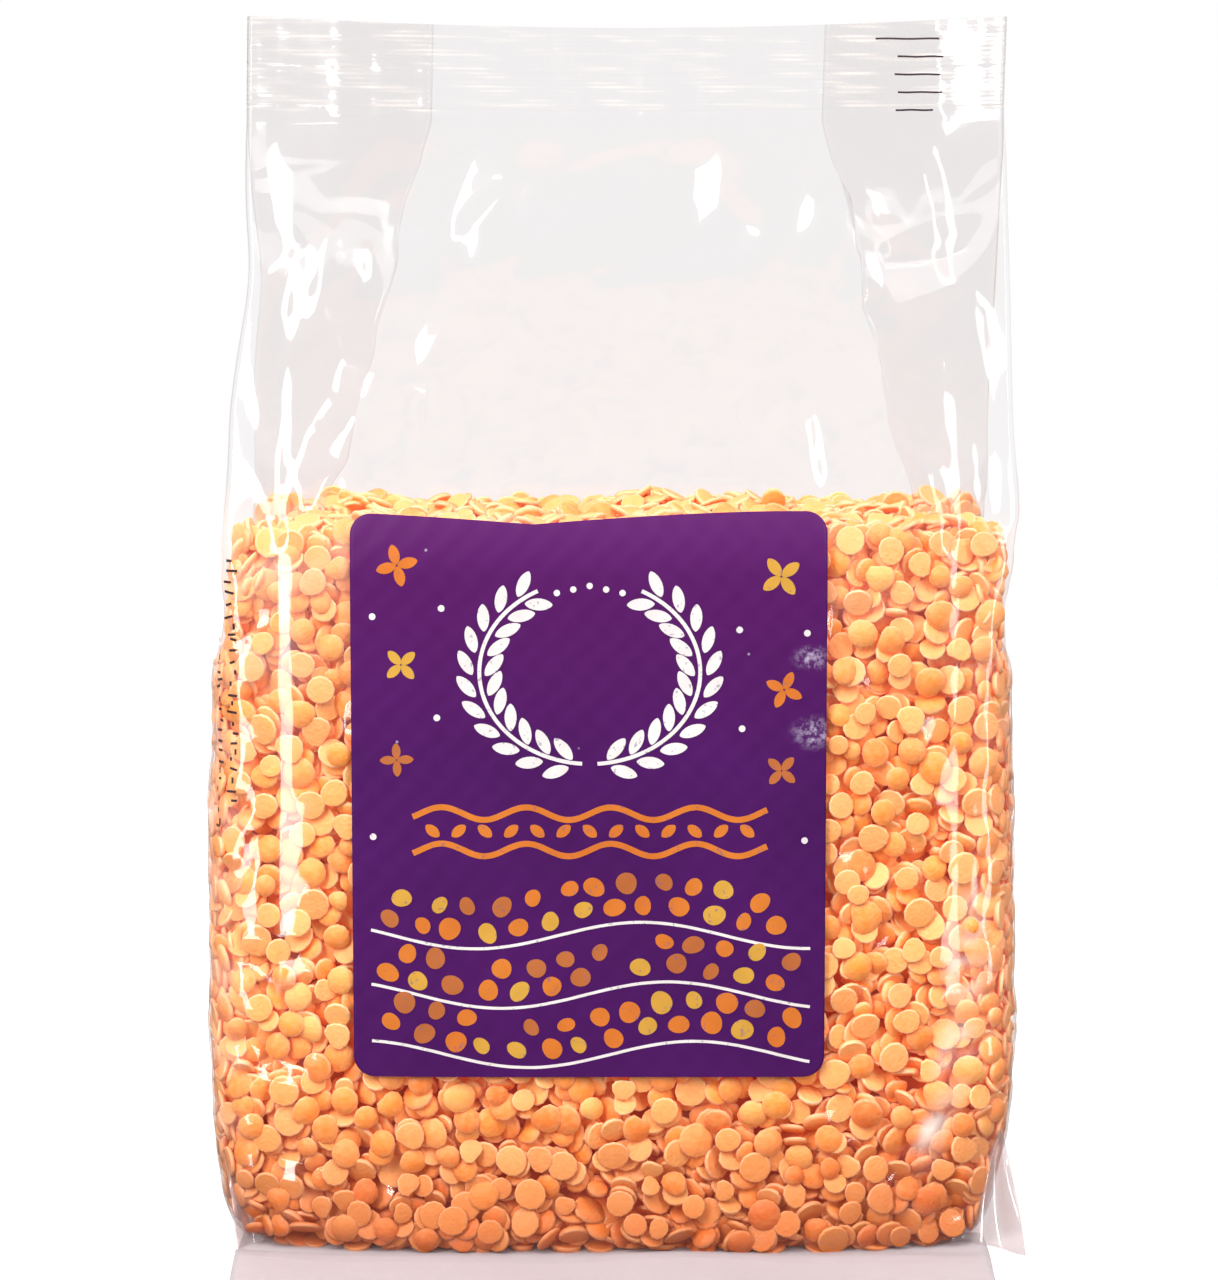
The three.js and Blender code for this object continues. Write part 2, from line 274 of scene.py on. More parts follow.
# the film's wall rolled out flat: its width and height, how far it starts below the floor, and the fill's top
wallMap = {"width": 330.0, "height": 108.0, "lift": 0.8, "crest": 103.7}
mapCols = int(round(wallMap["width"] / cell))
mapRows = int(round(wallMap["height"] / cell))


def pileOnWall(rng):
    # the lentils that lie against the film, in places on the rolled-out wall
    ground = np.abs(rng.normal(0, 0.12, (mapRows, mapCols)))
    crest = wallMap["crest"] + noiseAlong(rng, mapCols, range(5, 40, 3), 0.55)
    height = np.arange(mapRows)[:, None] * cell - wallMap["lift"]
    target = np.full((mapRows, mapCols), pile["wallDepth"])
    # here and there a cluster stands on edge, mostly low down
    around = np.arange(mapCols)[None, :] / mapCols * 2 * math.pi
    clusters = sum(np.cos(height * rng.uniform(-0.22, 0.22) + around * rng.integers(-9, 10)
                          + rng.uniform(0, 6.28)) for _ in range(12)) / 3
    lying = np.clip(0.9 - 0.2 * clusters - 0.3 * (1 - smooth(18, 40, height)), 0.2, 0.97)
    return dropLentils(rng, ground, pile["wallCount"], target, lying, True, height < crest[None, :])


def standUp(dropped):
    # from the rolled-out wall to the bag: place, direction, radius and thickness of each seed
    column = dropped[:, 0] / wallMap["width"] * columns
    height = dropped[:, 1] - wallMap["lift"]
    outward = sampleWall(outWall, column, height)
    outward /= np.linalg.norm(outward, axis=1, keepdims=True)
    sideways = sampleWall(alongWall, column, height)
    sideways -= outward * np.sum(sideways * outward, 1, keepdims=True)
    sideways /= np.linalg.norm(sideways, axis=1, keepdims=True)
    upwards = np.cross(outward, sideways)
    # where the wall bends, a flat seed lies deeper by the height of its own arc
    push = np.clip(sampleWall(wallCurve, column, height), 0, 0.3) * dropped[:, 6] ** 2 / 2
    spot = sampleWall(wall, column, height) - outward * (dropped[:, 2] + 0.1 + push)[:, None]
    normal = dropped[:, 3, None] * sideways + dropped[:, 4, None] * upwards - dropped[:, 5, None] * outward
    return np.column_stack([spot, normal, dropped[:, 6:8]])


def outsideBag(points):
    # which points lie outside the film's ring at their height
    level = np.clip(np.searchsorted(wallHeights, points[:, 2]), 0, len(wallHeights) - 1)
    crossings = np.zeros(len(points), int)
    for i in range(columns):
        a, b = wall[level, i, :2], wall[level, (i + 1) % columns, :2]
        spans = (a[:, 1] > points[:, 1]) != (b[:, 1] > points[:, 1])
        rise = np.where(spans, b[:, 1] - a[:, 1], 1.0)
        at = a[:, 0] + (points[:, 1] - a[:, 1]) / rise * (b[:, 0] - a[:, 0])
        crossings += spans & (points[:, 0] < at)
    return crossings % 2 == 0


def rimPoints(seeds):
    # eight points round the rim of every seed
    n = seeds[:, 3:6]
    first = np.cross(n, [0.0, 0.0, 1.0])
    first /= np.maximum(np.linalg.norm(first, axis=1, keepdims=True), 1e-6)
    second = np.cross(n, first)
    reach = seeds[:, 6:7] * 0.95
    return [seeds[:, :3] + reach * (math.cos(a) * first + math.sin(a) * second)
            for a in np.arange(8) * math.pi / 4]


def drawInside(seeds):
    # where the sides turn in towards the folds, seeds that would pierce the film are moved in or left out
    for _ in range(6):
        pierces = np.any([outsideBag(rim) for rim in rimPoints(seeds)], axis=0) & (seeds[:, 2] > 84)
        inwards = -seeds[:, :3] * [1.0, 1.0, 0.0]
        inwards /= np.maximum(np.linalg.norm(inwards, axis=1, keepdims=True), 1e-6)
        seeds[:, :3] += inwards * 0.5 * pierces[:, None]
    return seeds[~pierces]


print("stage: piling lentils against the film")
rng = np.random.default_rng(4107)
dropped, nearest, shown = pileOnWall(rng)
# those that hide behind others are left out, apart from the top that is also seen from above
dropped = dropped[(shown >= pile["leastShown"]) | (dropped[:, 1] > pile["openFrom"])]
wallSeeds = drawInside(standUp(dropped))


def insideRing(z, inset, xs, ys):
    # which points lie inside the bag's section, this far from its film
    s = section(np.float64(z))
    v = np.clip(ys / s["y"], -1, 1)
    out = s["x"] + s["sideways"] * (1 - np.abs(v) ** s["sidePower"]) - inset
    bow = s["y"] + s["bulge"] * (1 - clamp01(np.abs(xs - s["lean"]) / s["x"]) ** bag["panelPower"]) - inset
    return (np.abs(xs - s["lean"]) < out) & (np.abs(ys) < bow)


def stampSeeds(ground, seeds, originX, originY):
    # raises a height map to the upper side of seeds that are already there
    span = np.arange(-11, 12)
    gy, gx = np.meshgrid(span * cell, span * cell, indexing="ij")
    for x, y, z, nx, ny, nz, radius, thick in seeds:
        k = 4 / thick ** 2 - 1 / radius ** 2
        along = nx * gx + ny * gy
        a = 1 / radius ** 2 + k * nz ** 2
        b = k * nz * along
        c = (gx ** 2 + gy ** 2) / radius ** 2 + k * along ** 2 - 1
        inside = b * b - a * c
        over = np.where(inside > 0, (-b + np.sqrt(np.maximum(inside, 0))) / a + z, -99)
        row = int(round((y - originY) / cell)) + span
        col = int(round((x - originX) / cell)) + span
        if row[0] >= 0 and col[0] >= 0 and row[-1] < ground.shape[0] and col[-1] < ground.shape[1]:
            area = np.ix_(row, col)
            ground[area] = np.maximum(ground[area], over)


def pileFlat(rng, count, floorLevel, target, spread, upright, z, already):
    # a pile on a level: over the core at the top of the fill, or on the film of the base
    xs = np.arange(-60, 60.01, cell)
    ys = np.arange(-31, 31.01, cell)
    gridY, gridX = np.meshgrid(ys, xs, indexing="ij")
    ground = floorLevel + np.abs(rng.normal(0, 0.15, gridX.shape))
    stampSeeds(ground, already, xs[0], ys[0])
    swell = sum(rng.normal() * np.cos(gridX * rng.uniform(-0.35, 0.35) + gridY * rng.uniform(-0.35, 0.35)
                                      + rng.uniform(0, 6.28)) for _ in range(9)) / 3
    allowed = insideRing(z, 2.3, gridX, gridY)
    lying = np.full(ground.shape, upright)
    made, _, _ = dropLentils(rng, ground, count, target + spread * swell, lying, False, allowed)
    made[:, 0] += xs[0]
    made[:, 1] += ys[0]
    return made


print("stage: levelling the top of the fill and the base")
nearTop = wallSeeds[wallSeeds[:, 2] > 94]
topSeeds = pileFlat(rng, pile["topCount"], 99.5, 104.7, 0.8, 0.7, 103.0, nearTop)
baseSeeds = pileFlat(rng, pile["baseCount"], 0.15, 1.3, 0.2, 0.95, 1.5, [])
seeds = np.concatenate([wallSeeds, topSeeds, baseSeeds])
# none sinks through the film that the bag stands on
below = np.sqrt(seeds[:, 6] ** 2 * (1 - seeds[:, 5] ** 2) + (seeds[:, 7] / 2 * seeds[:, 5]) ** 2)
seeds[:, 2] = np.maximum(seeds[:, 2], below + 0.15)
print("stage:", len(wallSeeds), len(topSeeds), len(baseSeeds), "lentils")


# Mesh and node helpers

def makeMesh(name, points, faces, material, smoothShade=True):
    mesh = bpy.data.meshes.new(name)
    mesh.from_pydata([tuple(p) for p in place(points)], [], [tuple(f) for f in faces])
    mesh.materials.append(material)
    mesh.shade_smooth() if smoothShade else mesh.shade_flat()
    piece = bpy.data.objects.new(name, mesh)
    bpy.context.scene.collection.objects.link(piece)
    return piece


def addNode(tree, kind, inputs=None, **settings):
    node = tree.nodes.new(kind)
    for key, value in settings.items():
        setattr(node, key, value)
    for key, value in (inputs or {}).items():
        if isinstance(value, bpy.types.NodeSocket):
            tree.links.new(value, node.inputs[key])
        else:
            node.inputs[key].default_value = value
    return node


def colour(code):
    # an sRGB hex value as linear light
    parts = [int(code[i:i + 2], 16) / 255 for i in (0, 2, 4)]
    return tuple(c / 12.92 if c <= 0.04045 else ((c + 0.055) / 1.055) ** 2.4 for c in parts) + (1.0,)


def newMaterial(name):
    # the material, its node tree and the coordinates of the piece it is on
    material = bpy.data.materials.new(name)
    material.use_nodes = True
    tree = material.node_tree
    tree.nodes.clear()
    return material, tree, addNode(tree, "ShaderNodeTexCoord").outputs["Object"]


def finishMaterial(material, shader):
    tree = material.node_tree
    addNode(tree, "ShaderNodeOutputMaterial", {"Surface": shader.outputs[0]})
    return material


def rampOf(tree, factor, stops):
    node = addNode(tree, "ShaderNodeValToRGB", {"Fac": factor})
    while len(node.color_ramp.elements) < len(stops):
        node.color_ramp.elements.new(0.5)
    for element, (at, code) in zip(node.color_ramp.elements, stops):
        element.position = at
        element.color = colour(code)
    return node.outputs["Color"]


def noiseOf(tree, coords, scale, detail, roughness=0.5):
    return addNode(tree, "ShaderNodeTexNoise", {"Vector": coords, "Scale": scale, "Detail": detail,
                                                "Roughness": roughness}).outputs["Fac"]


def carried(tree, name):
    # a value that the mesh carries on its points
    return addNode(tree, "ShaderNodeAttribute", attribute_name=name).outputs["Fac"]


def remap(tree, value, start, end, low=0.0, high=1.0, curve="LINEAR"):
    node = addNode(tree, "ShaderNodeMapRange", {
        "Value": value, "From Min": start, "From Max": end, "To Min": low, "To Max": high})
    node.interpolation_type = curve
    return node.outputs["Result"]


def maths(tree, operation, a, b):
    return addNode(tree, "ShaderNodeMath", {0: a, 1: b}, operation=operation).outputs[0]


def tinted(tree, share, under, over, way="MIX"):
    over = over if isinstance(over, bpy.types.NodeSocket) else colour(over)
    return addNode(tree, "ShaderNodeMix", {"Factor": share, "A": under, "B": over}, data_type="RGBA",
                   blend_type=way).outputs[2]


def blended(tree, share, under, over):
    return addNode(tree, "ShaderNodeMixShader", {"Fac": share, 1: under.outputs[0], 2: over.outputs[0]})


def heightOf(tree, coords):
    return addNode(tree, "ShaderNodeSeparateXYZ", {"Vector": coords}).outputs["Z"]


# Hulled, split and dried red lentil: waxy and matt, its cut face paler than its round back

lentilLook = {
    "pale": "FFB359", "salmon": "FF9236", "amber": "FF9831", "blush": "FF9849", "deep": "F27A26",
    "palePatches": "FFC584", "cutFace": "FFC685", "cutShare": 0.42, "rim": "FFE2C2", "rimShare": 0.5,
    # load and footShadeTop paint shade towards the bottom of the bag and set how high it reaches; glow is a
    # painted orange glow
    "footShade": "B79274", "footShadeTop": 0.024, "glow": "FF6A0A", "glowStrength": 0.075,
}


def lentilMaterial():
    look = lentilLook
    material, tree, coords = newMaterial("dried split lentil")
    skin = rampOf(tree, carried(tree, "tone"), [
        (0.0, look["deep"]), (0.2, look["salmon"]), (0.45, look["amber"]),
        (0.65, look["salmon"]), (0.82, look["blush"]), (1.0, look["pale"])])
    # dust and rubbed skin, in patches of about a millimetre
    mottle = noiseOf(tree, coords, 900.0, 1.0)
    skin = tinted(tree, remap(tree, mottle, 0.35, 0.7, 0.0, 0.28), skin, look["palePatches"])
    cut = maths(tree, "MULTIPLY", carried(tree, "cut"), look["cutShare"])
    skin = tinted(tree, cut, skin, look["cutFace"])
    # painted highlight: the rim is paler where its edge catches the light, as well as where its skin is worn
    rim = maths(tree, "MULTIPLY", carried(tree, "rim"), look["rimShare"])
    skin = tinted(tree, rim, skin, look["rim"])
    # painted shade: the seeds are darker towards the bottom of the bag, where less light reaches them
    footShade = remap(tree, heightOf(tree, coords), look["footShadeTop"], 0.001)
    skin = tinted(tree, footShade, skin, look["footShade"], "MULTIPLY")
    grain = noiseOf(tree, coords, 2200.0, 0.0)
    bump = addNode(tree, "ShaderNodeBump", {"Height": grain, "Strength": 0.5, "Distance": 0.00016})
    # painted glow: a faint orange emission over the whole seed stands in for the light that comes through the
    # seeds, and warms the gaps between them
    return finishMaterial(material, addNode(tree, "ShaderNodeBsdfPrincipled", {
        "Base Color": skin, "Roughness": remap(tree, grain, 0.0, 1.0, 0.42, 0.62),
        "Normal": bump.outputs["Normal"], "IOR": 1.45,
        "Emission Color": colour(look["glow"]), "Emission Strength": look["glowStrength"]}))


# The seeds further in, which only show as a warm glow between the outer ones

def coreMaterial():
    material, tree, coords = newMaterial("lentils deeper in the bag")
    # painted shade: the core has the deep orange of the shaded gaps, darkest at the edges of cells about a
    # seed wide
    cells = addNode(tree, "ShaderNodeTexVoronoi", {"Vector": coords, "Scale": 260.0})
    tint = rampOf(tree, cells.outputs["Distance"], [(0.0, "F07C26"), (0.5, "E0661A"), (1.0, "C85512")])
    return finishMaterial(material, addNode(tree, "ShaderNodeBsdfPrincipled", {
        "Base Color": tint, "Roughness": 0.7}))


# Stretched polypropylene film, 35 microns: clear, with a sharp gloss and a faint wider sheen round it

filmLook = {
    # facing and grazing are the shares of light that it mirrors, haze the wide part of that
    # milky is the share of grey-pink milk: weld milk, and painted shade with a painted orange reflection
    "clear": {"tint": "FCFBFB", "facing": 0.052, "grazing": 0.5, "gloss": 0.045, "haze": 0.2, "milkAndShade": 0.0},
    "welded": {"tint": "F8F5F5", "facing": 0.05, "grazing": 0.2, "gloss": 0.1, "haze": 0.4, "milkAndShade": 0.42},
    "loose": {"tint": "FAF7F7", "facing": 0.06, "grazing": 0.5, "gloss": 0.07, "haze": 0.3, "milkAndShade": 0.12},
}
filmSheen = 0.3
# the colour of the white veil painted on the film as sheen
veilTint = "FFF6EC"
# the milk's grey-pink: weld milk, painted shade and a painted orange reflection
milkShadeTint = "BBB4B8"


def filmMaterial(name, look, withVeil=False):
    material, tree, coords = newMaterial(name)
    angle = addNode(tree, "ShaderNodeLayerWeight", {"Blend": 0.5}).outputs["Facing"]
    share = remap(tree, maths(tree, "POWER", angle, 4.0), 0.0, 1.0, look["facing"], look["grazing"])
    # stretch marks run across the web, about 4 mm apart
    web = addNode(tree, "ShaderNodeMapping", {"Vector": coords, "Scale": (1.0, 1.0, 0.3)})
    marks = noiseOf(tree, web.outputs["Vector"], 240.0, 0.0)
    rough = remap(tree, marks, 0.0, 1.0, look["gloss"] * 0.7, look["gloss"] * 1.5)
    sharp = addNode(tree, "ShaderNodeBsdfGlossy", {"Roughness": rough})
    wide = addNode(tree, "ShaderNodeBsdfGlossy", {"Roughness": filmSheen})
    through = addNode(tree, "ShaderNodeBsdfTransparent", {"Color": colour(look["tint"])})
    if withVeil:
        # where the folded sides cling together they lose most of their shine
        share = maths(tree, "MULTIPLY", share, carried(tree, "apart"))
    film = blended(tree, share, through, blended(tree, look["haze"], sharp, wide))
    if withVeil:
        # painted sheen: a white diffuse veil where the haze of reflected light whitens the film, with the
        # milky ribs of the weld
        dustAndSheen = maths(tree, "MULTIPLY", carried(tree, "sheenAndMilk"), remap(tree, marks, 0.3, 0.7, 0.6, 1.3))
        film = blended(tree, dustAndSheen, film, addNode(tree, "ShaderNodeBsdfDiffuse", {"Color": colour(veilTint)}))
    if look["milkAndShade"]:
        # welding leaves the film milky; the milk's grey-pink is also painted shade from the bag and a painted
        # reflection of the lentils' orange
        milkShade = addNode(tree, "ShaderNodeBsdfDiffuse", {"Color": colour(milkShadeTint)})
        film = blended(tree, look["milkAndShade"], film, milkShade)
    return finishMaterial(material, film)


# Varnished label paper and the inks on it

# base, darker clouds, roughness, and what shows where the ink missed
inkLook = {
    "cream": ("E2DCDA", "D6CFD0", 0.35, "6A5A7C"),
    "orange": ("CC7830", "C2682A", 0.35, "6A5A7C"),
    "yellow": ("CB9C42", "C08F3A", 0.35, "6A5A7C"),
    "rust": ("B2683A", "A65C32", 0.35, "6A5A7C"),
    "coder": ("4A3A40", "2F252B", 0.45, "5A4A50"),
}
# upper paints the sheen along the label's top, and scratched is the pale colour of the painted glare and of
# the dust specks
purpleLook = {"base": "47115A", "clouds": "3F0E50", "gloss": 0.4, "upper": "52135B", "glareAndDust": "D8CBE6"}
# painted glare near the label's right edge, where its paper is scuffed: x, z, width and height in mm
glareSpots = [(28.8, 75.9, 4.4, 3.0), (28.2, 86.5, 3.6, 2.2)]


def glareSpot(tree, coords, x, z, wide, tall):
    # 1 in the middle of the spot, 0 past its edge
    centre = (np.array([x, 0, z]) + bodyShift) * 0.001
    size = np.array([1 / wide, 0, 1 / tall]) * 1000
    spot = addNode(tree, "ShaderNodeMapping", {"Vector": coords, "Scale": size, "Location": -centre * size})
    away = addNode(tree, "ShaderNodeVectorMath", {0: spot.outputs["Vector"]}, operation="LENGTH")
    return remap(tree, away.outputs["Value"], 1.0, 0.0, curve="SMOOTHSTEP")


def printed(tree, coords, base, clouds):
    return rampOf(tree, noiseOf(tree, coords, 45.0, 2.0), [(0.3, clouds), (0.7, base)])


def paperShader(tree, tint, fibre, gloss):
    bump = addNode(tree, "ShaderNodeBump", {"Height": fibre, "Strength": 0.08, "Distance": 0.00005})
    return addNode(tree, "ShaderNodeBsdfPrincipled", {
        "Base Color": tint, "Roughness": remap(tree, fibre, 0.0, 1.0, gloss * 0.85, gloss * 1.2),
        "Normal": bump.outputs["Normal"], "IOR": 1.38, "Specular IOR Level": 0.3})


def paperMaterial():
    look = purpleLook
    material, tree, coords = newMaterial("varnished purple label paper")
    fibre = noiseOf(tree, coords, 1600.0, 2.0)
    tint = printed(tree, coords, look["base"], look["clouds"])
    # painted sheen: it turns redder and lighter towards its top edge
    tint = tinted(tree, remap(tree, heightOf(tree, coords), 0.07, 0.108), tint, look["upper"])
    # painted glare near the right edge, broken up by fine scratches where it is scuffed, and a few specks of
    # dust
    palePatches = maths(tree, "ADD", *[glareSpot(tree, coords, *scuff) for scuff in glareSpots])
    scratch = remap(tree, noiseOf(tree, coords, 1000.0, 3.0, 0.75), 0.44, 0.7, 0.02, 0.8)
    specks = addNode(tree, "ShaderNodeTexVoronoi", {"Vector": coords, "Scale": 130.0}).outputs["Distance"]
    dustAndSheen = remap(tree, specks, 0.034, 0.018, 0.0, 0.42)
    shows = maths(tree, "ADD", maths(tree, "MULTIPLY", palePatches, scratch), dustAndSheen)
    tint = tinted(tree, shows, tint, look["glareAndDust"])
    return finishMaterial(material, paperShader(tree, tint, fibre, look["gloss"]))


def inkMaterial(name):
    base, clouds, gloss, missed = inkLook[name]
    material, tree, coords = newMaterial(name + " ink")
    fibre = noiseOf(tree, coords, 1600.0, 2.0)
    tint = printed(tree, coords, base, clouds)
    # the paper shows through where the ink missed it
    tint = tinted(tree, remap(tree, fibre, 0.64, 0.7, 0.0, 0.55), tint, missed)
    return finishMaterial(material, paperShader(tree, tint, fibre, gloss))


driedLentil = lentilMaterial()
deepLentil = coreMaterial()
clearFilm = filmMaterial("stretched polypropylene film", filmLook["clear"], withVeil=True)
weldedFilm = filmMaterial("welded double film", filmLook["welded"])
looseFilm = filmMaterial("loose double film", filmLook["loose"])
purplePaper = paperMaterial()
creamInk, orangeInk, yellowInk, rustInk, coderInk = [inkMaterial(name) for name in inkLook]


# One seed of each kind: a flat cut face, a rounded rim and a low dome

kinds = {
    "round": {"oval": 1.0, "dome": 1.0, "dent": 0.02, "share": 0.18},
    "oval": {"oval": 0.9, "dome": 0.95, "dent": 0.04, "share": 0.18},
    "plump": {"oval": 0.97, "dome": 1.15, "dent": 0.02, "share": 0.16},
    "thin": {"oval": 0.95, "dome": 0.75, "dent": 0.06, "share": 0.17},
    "worn": {"oval": 0.96, "dome": 0.85, "dent": 0.09, "share": 0.17},
    "chipped": {"oval": 0.94, "dome": 0.95, "dent": 0.13, "share": 0.14},
}
seedSides = 12
# radius and height of each ring, how far it belongs to the cut face, and how pale its rim is: worn skin, and
# a painted highlight where the edge catches the light
seedProfile = [(0.87, -0.40, 1.0, 0.0), (0.975, -0.36, 0.9, 1.0),
               (1.0, -0.04, 0.4, 0.7), (0.87, 0.29, 0.0, 0.1)]


def seedMesh(name, kind, rng):
    # unit radius and unit thickness, centred on its middle plane
    around = np.arange(seedSides) / seedSides * 2 * math.pi
    dents = np.cos(2 * around + rng.uniform(0, 6)) + np.cos(3 * around + rng.uniform(0, 6))
    wobble = 1 + kind["dent"] * dents / 2
    if kind["dent"] > 0.1:
        wobble -= 0.16 * np.maximum(0, np.cos(around - 1.0)) ** 9
    points = [(0, 0, -0.37)]
    for radius, z, _, _ in seedProfile:
        for a, w in zip(around, wobble):
            points.append((radius * w * math.cos(a), radius * w * kind["oval"] * math.sin(a),
                           z * (kind["dome"] if z > 0 else 1)))
    points.append((0, 0, 0.47 * kind["dome"]))
    faces = []
    last = len(points) - 1
    for i in range(seedSides):
        k = (i + 1) % seedSides
        faces.append((0, 1 + k, 1 + i))
        for ring in range(len(seedProfile) - 1):
            a, b = 1 + ring * seedSides + i, 1 + ring * seedSides + k
            faces += [(a, b, b + seedSides), (a, b + seedSides, a + seedSides)]
        top = 1 + (len(seedProfile) - 1) * seedSides
        faces.append((last, top + i, top + k))
    mesh = bpy.data.meshes.new(name)
    mesh.from_pydata(points, [], faces)
    for title, column, first in (("cut", 2, 1.0), ("rim", 3, 0.0)):
        values = [first] + [ring[column] for ring in seedProfile for _ in range(seedSides)] + [0.0]
        mesh.attributes.new(title, "FLOAT", "POINT").data.foreach_set("value", values)
    return mesh


def scatterTree():
    # stands one seed on each point, turned and sized by what the point carries
    tree = bpy.data.node_groups.new("lay lentils", "GeometryNodeTree")
    face = tree.interface
    face.new_socket("Geometry", in_out="INPUT", socket_type="NodeSocketGeometry")
    face.new_socket("Seed Shape", in_out="INPUT", socket_type="NodeSocketObject")
    face.new_socket("Size", in_out="INPUT", socket_type="NodeSocketFloat")
    face.new_socket("Random Seed", in_out="INPUT", socket_type="NodeSocketInt")
    face.new_socket("Finish", in_out="INPUT", socket_type="NodeSocketMaterial")
    face.new_socket("Geometry", in_out="OUTPUT", socket_type="NodeSocketGeometry")
    given = addNode(tree, "NodeGroupInput")
    shape = addNode(tree, "GeometryNodeObjectInfo", {"Object": given.outputs["Seed Shape"]})
    turn = addNode(tree, "GeometryNodeInputNamedAttribute", {"Name": "turn"}, data_type="QUATERNION")
    girth = addNode(tree, "GeometryNodeInputNamedAttribute", {"Name": "girth"}, data_type="FLOAT_VECTOR")
    scale = addNode(tree, "ShaderNodeVectorMath", {
        0: girth.outputs["Attribute"], "Scale": given.outputs["Size"]}, operation="SCALE")
    laid = addNode(tree, "GeometryNodeInstanceOnPoints", {
        "Points": given.outputs["Geometry"], "Instance": shape.outputs["Geometry"],
        "Rotation": turn.outputs["Attribute"], "Scale": scale.outputs["Vector"]})
    tone = addNode(tree, "FunctionNodeRandomValue", {"Seed": given.outputs["Random Seed"]}, data_type="FLOAT")
    toned = addNode(tree, "GeometryNodeStoreNamedAttribute", {
        "Geometry": laid.outputs["Instances"], "Name": "tone", "Value": tone.outputs[1]},
        data_type="FLOAT", domain="INSTANCE")
    real = addNode(tree, "GeometryNodeRealizeInstances", {"Geometry": toned.outputs["Geometry"]})
    soft = addNode(tree, "GeometryNodeSetShadeSmooth", {"Geometry": real.outputs["Geometry"]})
    done = addNode(tree, "GeometryNodeSetMaterial", {"Geometry": soft.outputs["Geometry"],
                                                     "Material": given.outputs["Finish"]})
    addNode(tree, "NodeGroupOutput", {"Geometry": done.outputs["Geometry"]})
    return tree


def turnOf(normal, spin):
    # a turn that carries +Z to the seed's domed side
    z = Vector(normal)
    x = z.orthogonal().normalized()
    frameOf = Matrix((x, z.cross(x), z)).transposed()
    return frameOf.to_quaternion() @ Matrix.Rotation(spin, 3, "Z").to_quaternion()


def layLentils(rng, seeds):
    tree = scatterTree()
    sockets = {i.name: i.identifier for i in tree.interface.items_tree if i.in_out == "INPUT"}
    names = list(kinds)
    which = rng.choice(len(names), len(seeds), p=[k["share"] for k in kinds.values()])
    flip = rng.choice([-1, 1], len(seeds))
    spin = rng.uniform(0, 2 * math.pi, len(seeds))
    made = []
    for index, name in enumerate(names):
        mine = np.flatnonzero(which == index)
        prototype = bpy.data.objects.new("seed " + name, seedMesh("seed " + name, kinds[name], rng))
        mesh = bpy.data.meshes.new("lentils_" + name)
        mesh.from_pydata([tuple(p) for p in place(seeds[mine, :3])], [], [])
        turn = mesh.attributes.new("turn", "QUATERNION", "POINT")
        turns = [turnOf(seeds[i, 3:6] * flip[i], spin[i]) for i in mine]
        turn.data.foreach_set("value", np.array(turns).ravel())
        girth = mesh.attributes.new("girth", "FLOAT_VECTOR", "POINT")
        girth.data.foreach_set("vector", seeds[mine][:, [6, 6, 7]].astype(np.float32).ravel())
        piece = bpy.data.objects.new("lentils_" + name, mesh)
        bpy.context.scene.collection.objects.link(piece)
        modifier = piece.modifiers.new("lay", "NODES")
        modifier.node_group = tree
        modifier[sockets["Seed Shape"]] = prototype
        modifier[sockets["Size"]] = 0.001
        modifier[sockets["Random Seed"]] = 31 + index
        modifier[sockets["Finish"]] = driedLentil
        shown = piece.evaluated_get(bpy.context.evaluated_depsgraph_get())
        plain = bpy.data.meshes.new_from_object(shown)
        piece.modifiers.remove(modifier)
        piece.data = plain
        bpy.data.objects.remove(prototype)
        made.append(piece)
        print("stage: laid", len(mine), name, "lentils,", len(plain.polygons), "faces")
    return made


lentilPieces = layLentils(rng, seeds)


# What lies behind the outer lentils

core = {"depth": 3.5, "bump": 0.55, "columns": 172, "rows": 76, "foot": 3.0, "crown": 101.0}


def coreMesh(rng):
    heights = np.linspace(core["foot"], core["crown"], core["rows"])
    around = np.arange(core["columns"]) * columns / core["columns"]
    points = []
    for z in heights:
        level = np.full(core["columns"], z)
        direction = sampleWall(outWall, around, level)
        direction /= np.linalg.norm(direction, axis=1, keepdims=True)
        depth = core["depth"] + rng.uniform(0, core["bump"], core["columns"])
        points.append(sampleWall(wall, around, level) - direction * depth[:, None])
    grid = np.concatenate(points)
    faces = []
    n = core["columns"]
    for j in range(core["rows"] - 1):
        for i in range(n):
            k = (i + 1) % n
            faces.append((j * n + i, j * n + k, (j + 1) * n + k, (j + 1) * n + i))
    top = (core["rows"] - 1) * n
    grid = np.vstack([grid, grid[:n].mean(0), grid[top:].mean(0)])
    faces += [((i + 1) % n, i, len(grid) - 2) for i in range(n)]
    faces += [(top + i, top + (i + 1) % n, len(grid) - 1) for i in range(n)]
    return grid, faces


corePoints, coreFaces = coreMesh(rng)
lentilCore = makeMesh("lentil_core", corePoints, coreFaces, deepLentil)
print("stage: core made")


# The film: the folds and facets that catch the light, in x and z on the front

